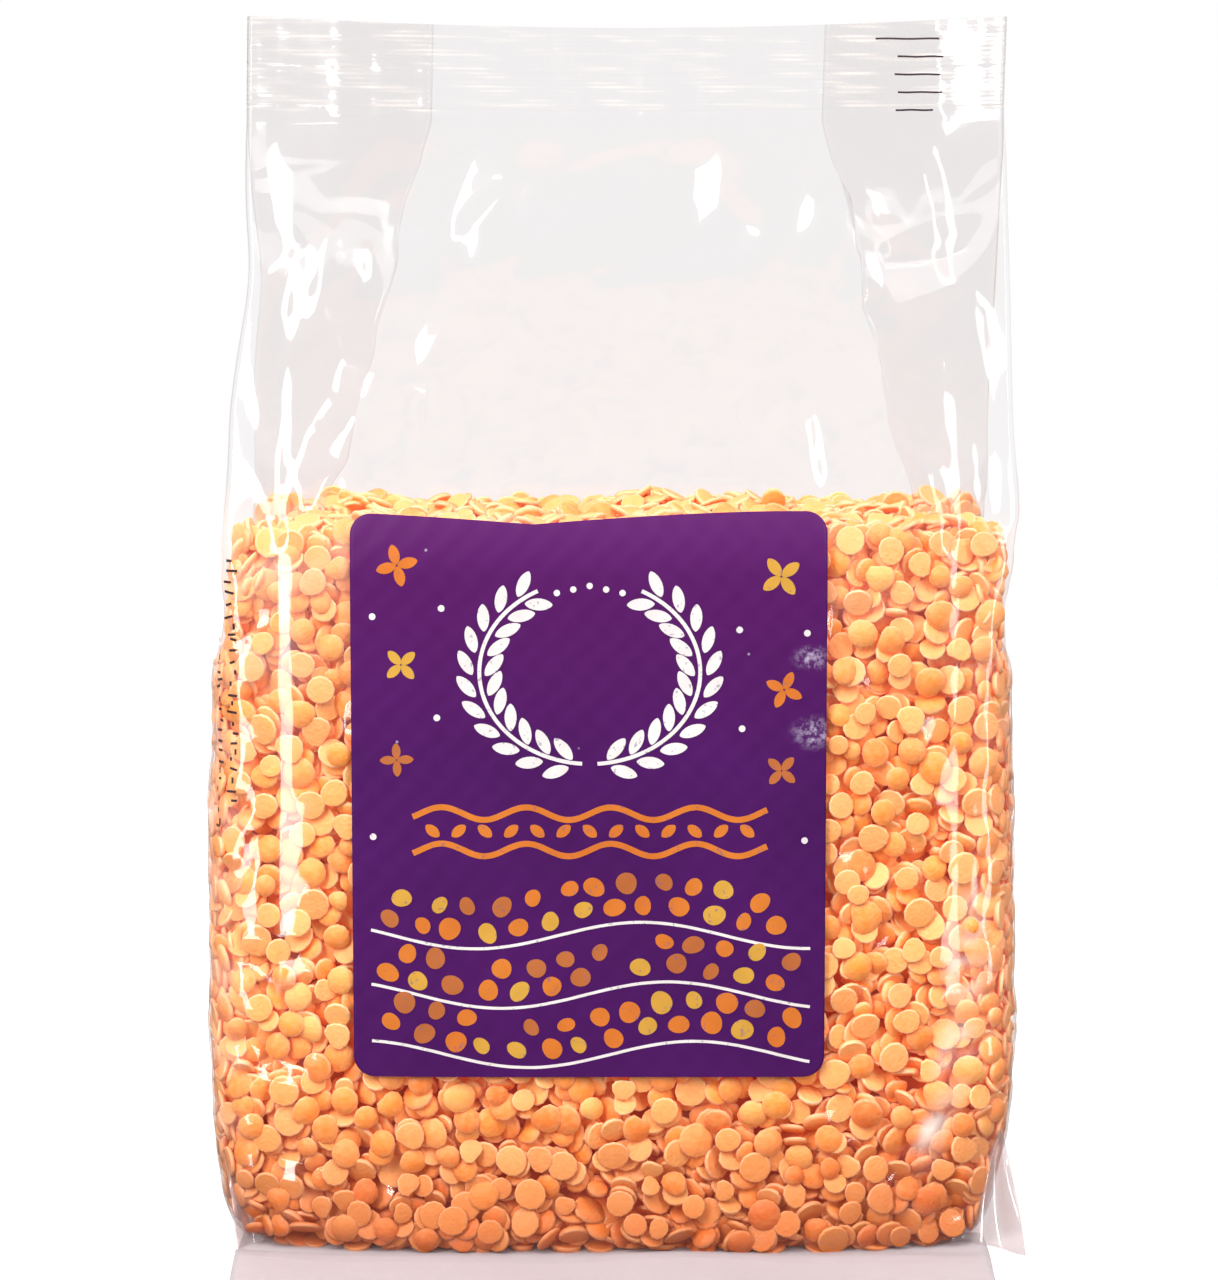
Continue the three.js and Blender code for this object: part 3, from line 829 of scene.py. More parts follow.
folds = [
    # from, to, how far it stands out, width to its left, width to its right
    ((-12.0, 160.0), (-17.5, 145.0), 1.9, 6.2, 22.0),
    ((-15.0, 150.0), (-20.0, 146.0), 0.7, 2.4, 4.0),
    ((11.8, 161.0), (11.0, 149.0), 1.45, 16.0, 4.8),
    ((30.5, 160.0), (37.5, 148.5), 0.95, 10.0, 3.1),
    ((43.5, 157.0), (46.5, 144.0), 1.1, 7.0, 3.6),
    ((31.5, 147.5), (36.0, 140.5), 1.0, 8.0, 3.3),
    ((39.5, 145.5), (46.0, 140.0), 0.8, 5.0, 2.6),
    ((51.6, 133.5), (52.6, 126.0), 1.1, 3.0, 3.8),
    ((27.0, 119.0), (28.0, 112.0), 0.75, 6.0, 2.5),
    ((44.0, 111.5), (45.5, 105.0), 0.9, 5.0, 3.0),
    ((-47.6, 160.5), (-45.8, 146.5), 0.8, 2.7, 5.0),
    ((-40.0, 144.0), (-42.5, 133.0), 1.35, 4.6, 7.0),
    ((-44.0, 142.5), (-47.5, 140.0), 0.5, 1.7, 4.0),
    ((-27.2, 160.0), (-32.7, 140.6), 0.26, 0.9, 1.4),
    ((-37.5, 140.0), (-35.0, 136.5), 0.5, 1.6, 3.0),
    ((-23.0, 132.8), (-25.3, 129.0), 0.85, 2.9, 7.0),
    ((-33.0, 125.5), (-39.5, 110.0), 1.9, 6.0, 9.0),
    ((-54.5, 119.0), (-46.5, 105.5), 0.42, 1.4, 2.6),
    ((-38.5, 112.0), (-45.0, 104.0), 0.42, 1.4, 2.6),
    ((-52.5, 131.0), (-49.5, 120.0), 0.7, 2.3, 4.0),
    ((-44.6, 122.0), (-44.2, 8.0), 0.49, 3.0, 7.0),
    ((47.7, 120.0), (48.3, 14.0), 0.34, 4.0, 1.8),
    ((50.4, 120.0), (50.8, 22.0), 0.22, 1.0, 1.4),
    ((53.2, 122.0), (53.4, 26.0), 0.24, 1.5, 1.5),
    ((-53.5, 11.0), (-45.0, 10.2), 0.95, 2.6, 3.0),
    ((-49.5, 25.0), (-44.8, 24.2), 0.8, 2.2, 2.6),
    ((-52.5, 45.5), (-45.0, 47.0), 0.7, 2.0, 2.4),
    ((-45.0, 161.0), (-45.5, 106.0), 0.3, 1.1, 1.4),
    ((-40.5, 161.0), (-41.0, 124.0), 0.3, 1.2, 1.2),
    ((45.5, 161.0), (46.5, 118.0), 0.25, 1.2, 1.2),
]
# so many of them, mirrored, also crease the back
headFolds = 17


def foldHeight(x, z, lines):
    # how far the film stands out from its even form; negative folds press in
    total = np.zeros_like(x)
    for start, end, height, leftWidth, rightWidth in lines:
        dx, dz = end[0] - start[0], end[1] - start[1]
        length = math.hypot(dx, dz)
        along = ((x - start[0]) * dx + (z - start[1]) * dz) / length ** 2
        away = ((x - start[0]) * dz - (z - start[1]) * dx) / length * (-1 if dz < 0 else 1)
        width = np.where(away < 0, leftWidth, rightWidth)
        # past its ends a fold dies away over a few millimetres
        past = np.maximum(0, np.maximum(-along, along - 1)) * length / 6
        profile = np.maximum(0, 1 - np.sqrt((away / width) ** 2 + 0.012) - past)
        total += height * profile
    return total


def softNoise(rng, x, z, waves, lowest, highest):
    # a sum of random waves, with lengths in mm
    total = np.zeros_like(x)
    for _ in range(waves):
        size = 2 * math.pi / rng.uniform(lowest, highest)
        way = rng.uniform(0, 2 * math.pi)
        across = x * size * math.cos(way) + z * size * math.sin(way)
        total += np.cos(across + rng.uniform(0, 6.28)) * rng.normal()
    return total / math.sqrt(waves)


def crumple(rng, x, z, spacing, height, box):
    # creased film: flat three-cornered facets between points that stand out by chance
    left, right, bottom, top = box
    spots = []
    for j, pz in enumerate(np.arange(bottom, top + spacing, spacing * 0.9)):
        for px in np.arange(left + (j % 2) * spacing / 2, right + spacing, spacing):
            spots.append((px + rng.normal(0, spacing * 0.2), pz + rng.normal(0, spacing * 0.2)))
    # four far corners at rest, so that every point of the film lies in some facet
    spots += [(px, pz) for pz in (bottom - 60, top + 60) for px in (left - 60, right + 60)]
    rise = rng.uniform(0, 1, len(spots)) ** 1.3 * height
    rise[-4:] = 0
    corners, _, facets, origins, _, _ = delaunay_2d_cdt([Vector(s) for s in spots], [], [], 0, 1e-5)
    rise = np.array([rise[o[0]] for o in origins])
    total = np.zeros_like(x)
    for a, b, c in facets:
        (ax, az), (bx, bz), (cx, cz) = corners[a], corners[b], corners[c]
        area = (bx - ax) * (cz - az) - (cx - ax) * (bz - az)
        near = (x >= min(ax, bx, cx)) & (x <= max(ax, bx, cx))
        near &= (z >= min(az, bz, cz)) & (z <= max(az, bz, cz))
        px, pz = x[near], z[near]
        v = ((px - ax) * (cz - az) - (cx - ax) * (pz - az)) / area
        w = ((bx - ax) * (pz - az) - (px - ax) * (bz - az)) / area
        inside = (v >= 0) & (w >= 0) & (v + w <= 1)
        level = np.where(inside, rise[a] * (1 - v - w) + rise[b] * v + rise[c] * w, total[near])
        total[near] = level
    return total


label = {"left": -36.6, "right": 30.3, "bottom": 26.4, "top": 107.0, "radius": 3.0, "lift": 0.45,
         "paper": 0.16, "dipAt": -11.0, "dipDepth": 1.8, "dipWidth": 34.0}
seal = {"pitch": 0.66, "rib": 0.05, "start": 162.4, "end": 175.6, "grooves": (163.6, 169.3)}


def blurMap(table, sigma):
    fy = np.fft.fftfreq(table.shape[0])[:, None]
    fx = np.fft.fftfreq(table.shape[1])[None, :]
    keep = np.exp(-2 * (math.pi * sigma) ** 2 * (fx ** 2 + fy ** 2))
    return np.real(np.fft.ifft2(np.fft.fft2(table) * keep))


def reliefMap(nearest):
    # the film sinks a little between the outermost lentils
    table = np.minimum(nearest, 1.6)
    tight = table.copy()
    reach = 4
    for dy in range(-reach, reach + 1, 2):
        for dx in range(-reach, reach + 1, 2):
            tight = np.minimum(tight, np.roll(np.roll(table, dy, 0), dx, 1))
    return np.minimum(blurMap(tight, 2.6), table + 0.05)


def filmHeights():
    fill, sealAt = bag["headStart"] + 2, bag["sealBottom"]
    return np.concatenate([
        np.array([0.0, 0.25, 0.6, 1.1, 1.8, 2.6, 3.5]),
        np.arange(4.8, fill, 1.35),
        np.linspace(fill, sealAt, 82, endpoint=False),
        np.arange(sealAt, bag["top"] + 0.01, 0.165),
    ])


def sealBend(x):
    # the slow bends of the seal from front to back
    return 0.55 * (1.0 * np.sin(x / 13.0 + 0.6) + 0.6 * np.sin(x / 7.3 + 2.1) + 0.5 * np.cos(x / 4.1))


def sunkBetween(z):
    # how far the film sinks at each column and height, read from the map of the nearest lentils
    relief = reliefMap(nearest)
    mapU = np.arange(columns)[None, :] / columns * mapCols + np.zeros_like(z)
    mapV = (z + wallMap["lift"]) / cell
    i0, j0 = np.floor(mapU).astype(int), np.clip(np.floor(mapV).astype(int), 0, mapRows - 2)
    fu, fv = mapU - i0, np.clip(mapV - j0, 0, 1)
    i0, i1 = i0 % mapCols, (i0 + 1) % mapCols
    lower = relief[j0, i0] * (1 - fu) + relief[j0, i1] * fu
    upper = relief[j0 + 1, i0] * (1 - fu) + relief[j0 + 1, i1] * fu
    return lower * (1 - fv) + upper * fv


def headCreases(rng, x, depth, z):
    # the crumpled head: large facets on the panels, small ones all over, sharp ones on the folded sides
    panelBox = (-62, 62, 96, 166)
    onPanels = [crumple(rng, x, z, *facets, panelBox) for facets in ((11.0, 1.5), (12.0, 2.0))]
    creased = np.where(depth < 0, *onPanels)
    creased += crumple(rng, x + depth, z, 4.6, 0.9, (-85, 85, 96, 166))
    onSides = [crumple(rng, depth, z, 6.0, 2.2, (-30, 30, 96, 166)) for _ in range(2)]
    pleated = np.where(x < 0, *onSides)
    outer = 0.08 + 0.22 * smooth(20, 31, np.abs(x - bag["leanAtTop"]))
    return np.where(onFront | onBack, creased * outer, pleated * 0.85), outer


def filmShift(rng, x, depth, z):
    # how far each point of the film stands out from its even form
    full = smooth(1.0, 5.0, z) * (1 - smooth(102, 106, z))
    nearLabel = smooth(label["left"] - 2, label["left"] + 1, x)
    nearLabel *= 1 - smooth(label["right"] - 1, label["right"] + 2, x)
    nearLabel *= smooth(label["bottom"] - 2, label["bottom"] + 1, z) * (depth < -15)
    # two upright strips beside the label are drawn tight
    pleat = np.exp(-((x + 46.0) / 3.3) ** 4) + 0.85 * np.exp(-((x - 50.0) / 3.6) ** 4)
    pleat = np.minimum(pleat, 1) * (depth < 0) * smooth(3, 9, z)
    shift = -(sunkBetween(z) * (1 - pleat) + 0.25 * pleat) * full * (1 - nearLabel)
    # folds and slack
    slack = softNoise(rng, x, z, 14, 16, 50)
    fine = softNoise(rng, x + depth * 2, z, 18, 5, 13)
    sharp, outer = headCreases(rng, x, depth, z)
    free = smooth(100, 112, z) * (1 - smooth(149, 161.5, z))
    flank = np.where(onFront | onBack, 1 - np.abs(panelT) ** 10, 1 - np.abs(sideV) ** 6)
    shift += free * (0.15 * slack * outer + 0.04 * fine + sharp) * flank
    shift += 0.16 * np.abs(slack) * full * (1 - nearLabel) * (1 - pleat)
    sealFree = 1 - smooth(153, 161.6, z)
    behindPaper = nearLabel * (1 - smooth(106, 112, z))
    shift += foldHeight(x, z, folds) * onFront * sealFree * flank * (1 - behindPaper)
    backFolds = [((-a[0], a[1]), (-b[0], b[1]), h * 0.8, r, l) for a, b, h, l, r in folds[:headFolds]]
    return shift + foldHeight(x, z, backFolds) * onBack * sealFree * flank


def pressSeal(rng, rings, x, z):
    # ribs across the seal, and bends and crumples that it shares with the film under it
    inSeal = smooth(seal["start"], seal["start"] + 0.4, z) * (1 - smooth(seal["end"] - 0.4, seal["end"], z))
    uneven = 0.75 + 0.35 * softNoise(rng, x, z * 3, 16, 4, 18)
    y = rings[:, :, 1]
    y += seal["rib"] * np.cos(2 * math.pi * z / seal["pitch"]) * inSeal * uneven
    rightEnd = smooth(46, 50, x)
    crumpled = crumple(rng, x * 1.6, z, 4.0, 0.34, (-100, 100, 156, 180))
    y += crumpled * smooth(158, 163, z) * (1 - 0.6 * rightEnd)
    y += 0.28 * np.maximum(0, x - 47.5) * smooth(156, 164, z)
    y += sealBend(x) * smooth(146, 168, z) * (1 - 0.75 * rightEnd)
    broken = 0.62 + 0.5 * np.sin(z * 1.9 + x * 0.5) * np.cos(z * 0.83 - x * 0.37 + 1.0)
    y -= foldHeight(x, z, sealFolds) * smooth(158, 163, z) * broken
    for groove in seal["grooves"]:
        y += 0.16 * np.exp(-((z - groove) / 0.3) ** 2)
    across = clamp01(np.abs(x - bag["leanAtTop"]) / (bag["panelWidth"] / 2))
    rings[:, :, 2] -= bag["sealDip"] * (1 - across ** 2) * smooth(150, bag["top"], z)


def filmMesh(rng):
    rings = np.array([ringAt(z, foldRounding(z)) for z in filmHeights()])
    x, depth, z = rings[:, :, 0], rings[:, :, 1], rings[:, :, 2]
    out = np.cross(np.roll(rings, -1, 1) - np.roll(rings, 1, 1), np.gradient(rings, axis=0))
    out /= np.linalg.norm(out, axis=2, keepdims=True)
    pushed = rings + out * filmShift(rng, x, depth, z)[:, :, None]
    pressSeal(rng, pushed, x, z)
    # the film under the bag, in rings towards its middle
    middle = pushed[0].mean(0)
    base = np.array([middle + (pushed[0] - middle) * f for f in (0.05, 0.28, 0.52, 0.76, 0.93)])
    grid = np.concatenate([base, pushed])
    grid[:, :, 2] = np.maximum(grid[:, :, 2], 0.02)
    return grid


def sheenAndMilkOn(rng, grid):
    # how much white veil is painted on the film, which stands for the sheen of light that its haze mirrors,
    # and where welding leaves it milky
    x, y, z = grid[:, :, 0], grid[:, :, 1], grid[:, :, 2]
    full = 1 - smooth(101, 107, z)
    # painted sheen: whiter at both sides of the fill, and towards its top, more on the left
    amount = (0.15 * smooth(50, 57, -x) + 0.05 * smooth(49, 56, x)) * full
    amount += 0.15 * smooth(70, 103, z) * (1 - smooth(103.5, 108, z)) * (1 - 0.7 * smooth(10, 40, x))
    # a whiter strip low on the right, along the film's bend there: painted sheen of the creased film
    crease = x - np.interp(z, [14, 24, 34, 50], [45.0, 48.6, 50.0, 50.6])
    strip = np.exp(-(crease / 2.6) ** 4 - ((z - 33) / 18) ** 6)
    amount += 0.5 * strip * clamp01(0.8 + softNoise(rng, x, z, 16, 2.5, 8))
    amount *= 0.75 + 0.4 * softNoise(rng, x + y, z, 14, 4, 16)
    ribs = 0.5 + 0.5 * np.cos(2 * math.pi * z / seal["pitch"])
    welded = smooth(seal["start"], seal["start"] + 0.4, z) * clamp01(softNoise(rng, x, z * 4, 14, 5, 16))
    return clamp01(amount) + 0.09 * ribs * welded


sealFolds = [
    ((-50.5, 178.0), (-49.8, 158.0), 0.42, 1.2, 1.6),
    ((-47.5, 178.0), (-48.0, 158.0), 0.3, 0.9, 1.2),
    ((-39.0, 178.0), (-39.4, 158.0), 0.5, 1.3, 1.5),
    ((-33.0, 178.0), (-33.5, 158.0), 0.45, 1.2, 1.6),
    ((-26.6, 178.0), (-26.9, 158.0), 0.5, 1.3, 2.4),
    ((-24.0, 171.0), (-24.6, 158.0), 0.4, 1.1, 1.8),
    ((-9.0, 178.0), (-8.6, 166.0), 0.3, 1.0, 1.4),
    ((5.0, 168.0), (5.5, 158.0), 0.4, 1.6, 1.2),
    ((14.0, 178.0), (14.4, 160.0), 0.4, 1.6, 1.2),
    ((30.0, 178.0), (29.0, 158.0), 0.45, 2.0, 1.3),
    ((46.0, 178.0), (48.0, 158.0), 0.5, 2.4, 2.0),
    ((54.0, 178.0), (53.0, 158.0), 0.14, 2.0, 2.4),
]


def filmFaces(rows):
    j, i = np.meshgrid(np.arange(rows - 1), np.arange(columns), indexing="ij")
    k = (i + 1) % columns
    quads = np.stack([j * columns + i, j * columns + k, (j + 1) * columns + k, (j + 1) * columns + i], 2)
    faces = quads.reshape(-1, 4).tolist()
    faces.append(list(range(columns))[::-1])
    # the top edge: the front is joined to the back, and at each end each to its half of the folded side
    top = (rows - 1) * columns
    half = sideSteps // 2
    front = np.arange(panelSteps + 1)
    back = (2 * panelSteps + sideSteps - front) % columns
    right = panelSteps + np.arange(half + 1)
    left = (columns - np.arange(half + 1)) % columns
    rightBack = panelSteps + sideSteps - np.arange(half + 1)
    leftBack = 2 * panelSteps + sideSteps + np.arange(half + 1)

    def bridge(a, b, turned):
        for m in range(len(a) - 1):
            quad = [top + a[m], top + a[m + 1], top + b[m + 1], top + b[m]]
            faces.append(quad[::-1] if turned else quad)

    bridge(front[half:panelSteps - half + 1], back[half:panelSteps - half + 1], False)
    bridge(front[::-1][:half + 1], right, True)
    bridge(front[:half + 1], left, False)
    bridge(panelSteps + sideSteps + np.arange(half + 1), rightBack, False)
    bridge(2 * panelSteps + sideSteps - np.arange(half + 1), leftBack, True)
    faces.append([top + panelSteps - half, top + panelSteps + half, top + panelSteps + sideSteps + half])
    faces.append([top + half, top + 2 * panelSteps + sideSteps - half, top + columns - half])
    clean = []
    for face in faces:
        kept = [v for n, v in enumerate(face) if v != face[n - 1]]
        if len(kept) > 2:
            clean.append(kept)
    return clean


print("stage: shaping the film")
filmGrid = filmMesh(rng)
film = makeMesh("film", filmGrid.reshape(-1, 3), filmFaces(len(filmGrid)), clearFilm)
# the painted sheen and the weld's milk, as a share on each point of the film
film.data.attributes.new("sheenAndMilk", "FLOAT", "POINT").data.foreach_set("value", sheenAndMilkOn(rng, filmGrid).ravel())
foldedIn = (onLeft | onRight)[None, :] * smooth(104, 116, filmGrid[:, :, 2])
film.data.attributes.new("apart", "FLOAT", "POINT").data.foreach_set("value", (1 - 0.72 * foldedIn).ravel())
print("stage: film made,", len(film.data.polygons), "faces")


# The bottom seal lies forwards on the floor, and the film's corners stand empty at its ends

def sheetMesh(grid, thick, lift):
    # a closed sheet from a grid of points and the direction in which it is thick
    rows, cols = grid.shape[:2]
    other = grid + lift * thick
    points = np.concatenate([grid.reshape(-1, 3), other.reshape(-1, 3)])
    faces = []
    behind = rows * cols
    for j in range(rows - 1):
        for i in range(cols - 1):
            a = j * cols + i
            faces.append((a, a + 1, a + cols + 1, a + cols))
            faces.append((behind + a + cols, behind + a + cols + 1, behind + a + 1, behind + a))
    numbers = np.arange(rows * cols).reshape(rows, cols)
    edge = [*numbers[0], *numbers[1:, -1], *numbers[-1, -2::-1], *numbers[-2:0:-1, 0]]
    for n, a in enumerate(edge):
        b = edge[(n + 1) % len(edge)]
        faces.append((b, a, behind + a, behind + b))
    return points, faces


fin = {"left": -53.6, "right": 54.2, "front": -47.0, "back": -17.0, "pitch": 0.8, "rib": 0.05,
       "ribsFrom": -33.0, "thick": 0.14}


def finGrid(level, phase):
    ys = np.linspace(fin["front"], fin["back"], 130)
    ts = np.linspace(0, 1, 100)
    y, t = np.meshgrid(ys, ts, indexing="ij")
    narrower = 0.8 * ramp(-26, -47, y)
    x = fin["left"] + narrower + t * (fin["right"] - fin["left"] - 2 * narrower)
    outside = smooth(-26, -31, y)
    wave = np.sin(x / 11.0 + phase) + 0.6 * np.sin(x / 5.2 + 1.3 + y / 20) + 0.5 * np.cos(x / 23.0 + y / 9)
    z = level + outside * (0.75 + 0.42 * wave)
    ribbed = smooth(fin["ribsFrom"], fin["ribsFrom"] - 0.5, y)
    z += fin["rib"] * np.cos(2 * math.pi * y / fin["pitch"]) * ribbed
    y = y + 0.35 * np.sin(x / 17.0 + 0.5) * smooth(-40, -47, y)
    return np.stack([x, y, np.maximum(z, 0.05)], 2)


def joinSheets(sheets):
    points, faces, start = [], [], 0
    for p, f in sheets:
        points.append(p)
        faces += [tuple(v + start for v in face) for face in f]
        start += len(p)
    return np.concatenate(points), faces


upDirection = np.array([0.0, 0.0, 1.0])
finSheets = [sheetMesh(finGrid(0.12, 0.3), fin["thick"], upDirection),
             sheetMesh(finGrid(0.42, 0.5), fin["thick"], upDirection)]
bottomSeal = makeMesh("bottom_seal", *joinSheets(finSheets), weldedFilm)


def earGrid(corner, tip, rise, root, depth, curl):
    # a three-sided pocket of film: its top on the bag's side, its tip on the floor
    ts, ws = np.linspace(0, 1, 26), np.linspace(0, 1, 26)
    t, w = np.meshgrid(ts, ws, indexing="ij")
    inner = root + (corner - root) * t
    outer = tip + (corner - tip) * t ** 1.15
    x = inner + (outer - inner) * w
    z = 0.35 + rise * t + 0.4 * np.sin(w * 5 + t * 3) * (1 - t)
    y = depth + curl * np.sin(w * 3.0 + t * 2.0) + 0.35 * np.sin(w * 11 + t * 4) - 5.0 * w * (1 - t)
    return np.stack([x, y, z], 2)


backDirection = np.array([0.0, 1.0, 0.0])
# x of the corner, x of the tip, height, x of the root, y, how far it curls
ears = [(56.3, 59.5, 17.0, 49.0, -22.0, 0.8), (-56.0, -53.6, 13.5, -47.5, -20.5, 0.6)]
earSheets = []
for ear in ears:
    grid = earGrid(*ear)
    if ear[0] < 0:
        grid = grid[:, ::-1]
    for behind in (0.0, 0.7):
        earSheets.append(sheetMesh(grid + backDirection * behind, 0.12, backDirection))
filmCorners = makeMesh("film_corners", *joinSheets(earSheets), looseFilm)
print("stage: bottom seal and corners made")


# The label and its print

def frontDepth(x, z):
    s = section(np.asarray(z, float))
    t = clamp01(np.abs(x - s["lean"]) / s["x"])
    return -(s["y"] + s["bulge"] * (1 - t ** bag["panelPower"]))


def labelDip(x):
    # the label's top edge sags where the film was slack under it
    return label["dipDepth"] * np.maximum(0, 1 - np.abs(x - label["dipAt"]) / label["dipWidth"]) ** 1.5


def labelWave(x, z):
    # seeds press very slightly through the paper, and it lifts along its edges
    press = 0.045 * np.sin(x * 1.35 + 0.4 * np.sin(z * 0.9)) * np.sin(z * 1.28 + 0.7)
    cockle = 0.12 * np.sin(x / 9.0 + 1.0) * np.cos(z / 13.0)
    return press + cockle


def onLabel(x, z, above):
    x, z = np.asarray(x, float), np.asarray(z, float)
    return np.stack([x, frontDepth(x, z) - label["lift"] - labelWave(x, z) - above, z], -1)


def labelGrid():
    across, up = 150, 170
    middle, half = (label["left"] + label["right"]) / 2, (label["right"] - label["left"]) / 2
    height = label["top"] - label["bottom"]
    corner = label["radius"] * (1 - np.cos(np.linspace(0, math.pi / 2, 12)))
    straight = np.linspace(label["radius"], height - label["radius"], up)[1:-1]
    h = np.concatenate([corner, straight, height - corner[::-1]])
    t = np.linspace(-1, 1, across)
    t, h = np.meshgrid(t, h)
    toEdge = np.minimum(label["radius"], np.minimum(h, height - h))
    rounded = label["radius"] - np.sqrt(label["radius"] ** 2 - (label["radius"] - toEdge) ** 2)
    x = middle + (half - rounded) * t
    z = label["bottom"] + h * (1 - labelDip(x) / height)
    return onLabel(x, z, label["paper"])


paper = makeMesh("label", *sheetMesh(labelGrid(), label["paper"], backDirection), purplePaper)


def blob(cx, cz, width, height, turn, wobble=0.0, sides=20):
    # an oval, as rings of points from its middle out
    around = np.arange(sides) / sides * 2 * math.pi
    reach = 1 + wobble * (np.cos(2 * around + cx) + np.cos(3 * around + cz)) / 2
    return ringsOf(cx, cz, width / 2 * reach * np.cos(around), height / 2 * reach * np.sin(around), turn)


def leaf(cx, cz, length, width, turn, sides=22):
    # a pointed oval
    around = np.arange(sides) / sides * 2 * math.pi
    v = width / 2 * np.sin(around) * np.abs(np.sin(around)) ** 0.35
    return ringsOf(cx, cz, length / 2 * np.cos(around), v, turn)


def ringsOf(cx, cz, u, v, turn):
    x = u * math.cos(turn) - v * math.sin(turn)
    z = u * math.sin(turn) + v * math.cos(turn)
    return [(cx + f * x, cz + f * z) for f in (0.02, 0.5, 1.0)]


def stroke(xs, zs, width):
    # a line of even width along a path, as its two sides
    path = np.stack([xs, zs], 1)
    ahead = np.roll(path, -1, 0) - np.roll(path, 1, 0)
    ahead[0], ahead[-1] = path[1] - path[0], path[-1] - path[-2]
    ahead /= np.linalg.norm(ahead, axis=1, keepdims=True)
    side = np.stack([-ahead[:, 1], ahead[:, 0]], 1) * width / 2
    left, right = path + side, path - side
    return [(left[:, 0], left[:, 1]), (right[:, 0], right[:, 1])]


ink = {"top": 0.03, "underside": 0.005}


def printPiece(name, shapes, strokes, material, surface=onLabel, base=0.16):
    # every shape is a very thin closed slab that follows the surface under it
    points, faces = [], []
    levels = (base + ink["top"], base + ink["underside"])
    for rings in shapes:
        n = len(rings[0][0])
        upper = len(points)
        lower = upper + 3 * n
        for above in levels:
            for x, z in rings:
                points += surface(x, z, above).tolist()
        faces.append(tuple(range(upper, upper + n)))
        faces.append(tuple(range(lower, lower + n))[::-1])
        for i in range(n):
            k = (i + 1) % n
            for r in range(2):
                a, b = upper + r * n, upper + (r + 1) * n
                faces.append((a + k, a + i, b + i, b + k))
                a, b = lower + r * n, lower + (r + 1) * n
                faces.append((a + i, a + k, b + k, b + i))
            faces.append((upper + 2 * n + k, upper + 2 * n + i, lower + 2 * n + i, lower + 2 * n + k))
    for (ax, az), (bx, bz) in strokes:
        n = len(ax)
        a, b, c, d = [len(points) + corner * n for corner in range(4)]
        for above in levels:
            points += surface(ax, az, above).tolist() + surface(bx, bz, above).tolist()
        for i in range(n - 1):
            faces += [(a + i, b + i, b + i + 1, a + i + 1), (c + i + 1, d + i + 1, d + i, c + i),
                      (a + i + 1, c + i + 1, c + i, a + i), (b + i, d + i, d + i + 1, b + i + 1)]
        faces += [(a, c, d, b), (a + n - 1, b + n - 1, d + n - 1, c + n - 1)]
    return makeMesh(name, points, faces, material, smoothShade=False)


artwork = {
    "middle": -3.0, "leftEdge": -34.0, "rightEdge": 28.2,
    "wreathZ": 84.5, "wreathWide": 15.5, "wreathHigh": 13.0, "wreathLeaves": 11,
    "leafStart": -74, "leafStep": 13.2, "leafLength": 3.9, "leafWidth": 1.7, "stemInk": 0.55,
    "waveZ": 61.8, "waveWide": 25.0, "waveApart": 2.6, "waveSwing": 0.9, "waveInk": 0.85,
    "rows": 6, "rowZ": 32.2, "rowRise": 3.4, "bandGap": 1.8, "ovalPitch": 4.55,
    "swing": 1.9, "swingLength": 7.5, "lineBelow": 2.5, "lineRise": 8.6, "lineInk": 0.42, "dot": 0.95,
}
# x, z, petal length and ink
flowers = [(-30.0, 99.5, 2.5, "orange"), (-29.5, 85.5, 2.2, "yellow"), (23.8, 98.0, 2.6, "yellow"),
           (24.3, 82.0, 2.3, "orange"), (-30.2, 72.0, 2.0, "rust"), (24.0, 70.5, 2.1, "rust")]
dots = [(-23.8, 93.5), (18.0, 90.5), (-24.5, 78.0), (18.4, 76.5), (27.5, 90.0), (-33.5, 92.3), (27.3, 60.5),
        (-33.6, 61.0)]
inked = {"cream": [], "orange": [], "yellow": [], "rust": []}
creamLines, orangeLines = [], []


def drawWreath():
    # two branches that meet below and stay open above, and a row of dots between their tips
    cx, cz, wide, high = artwork["middle"], artwork["wreathZ"], artwork["wreathWide"], artwork["wreathHigh"]
    for side in (-1, 1):
        a = np.radians(np.linspace(-86, 62, 60))
        creamLines.append(stroke(cx + side * wide * np.cos(a), cz + high * np.sin(a), artwork["stemInk"]))
        for n in range(artwork["wreathLeaves"]):
            a = math.radians(artwork["leafStart"] + n * artwork["leafStep"])
            for outside in (-1, 1):
                reach = 1 + outside * 0.13
                turn = a + math.pi / 2 - outside * 0.6
                x = cx + side * wide * reach * math.cos(a)
                z = cz + high * reach * math.sin(a)
                inked["cream"].append(leaf(x, z, artwork["leafLength"], artwork["leafWidth"],
                                           turn if side > 0 else math.pi - turn))
    for n in range(-2, 3):
        inked["cream"].append(blob(cx + n * 2.3, cz + 12.2 - abs(n) * 0.5, 0.9, 0.9, 0))


def drawBands(rng):
    # three wavy bands of little ovals on thin ground lines
    inks = ["orange", "yellow", "rust", "orange", "rust", "yellow", "orange"]
    for row in range(artwork["rows"]):
        band = row // 2
        level = artwork["rowZ"] + row * artwork["rowRise"] + band * artwork["bandGap"]
        for n in range(-6, 7):
            x = artwork["middle"] + n * artwork["ovalPitch"] + (1.1 if row % 2 else -1.1) + rng.normal(0, 0.3)
            if not artwork["leftEdge"] - 0.2 < x < artwork["rightEdge"] or rng.random() < 0.08:
                continue
            z = level + artwork["swing"] * math.sin(x / artwork["swingLength"] + band * 0.5)
            z += rng.normal(0, 0.22)
            size = rng.uniform(2.5, 3.35)
            inked[inks[rng.integers(0, len(inks))]].append(
                blob(x, z, size, size * rng.uniform(0.76, 0.96), rng.uniform(0, 3.1), 0.05))
    x = np.linspace(artwork["leftEdge"], artwork["rightEdge"], 150)
    for band in range(artwork["rows"] // 2):
        level = artwork["rowZ"] + band * artwork["lineRise"] - artwork["lineBelow"]
        z = level + artwork["swing"] * np.sin(x / artwork["swingLength"] + band * 0.5)
        creamLines.append(stroke(x, z, artwork["lineInk"]))


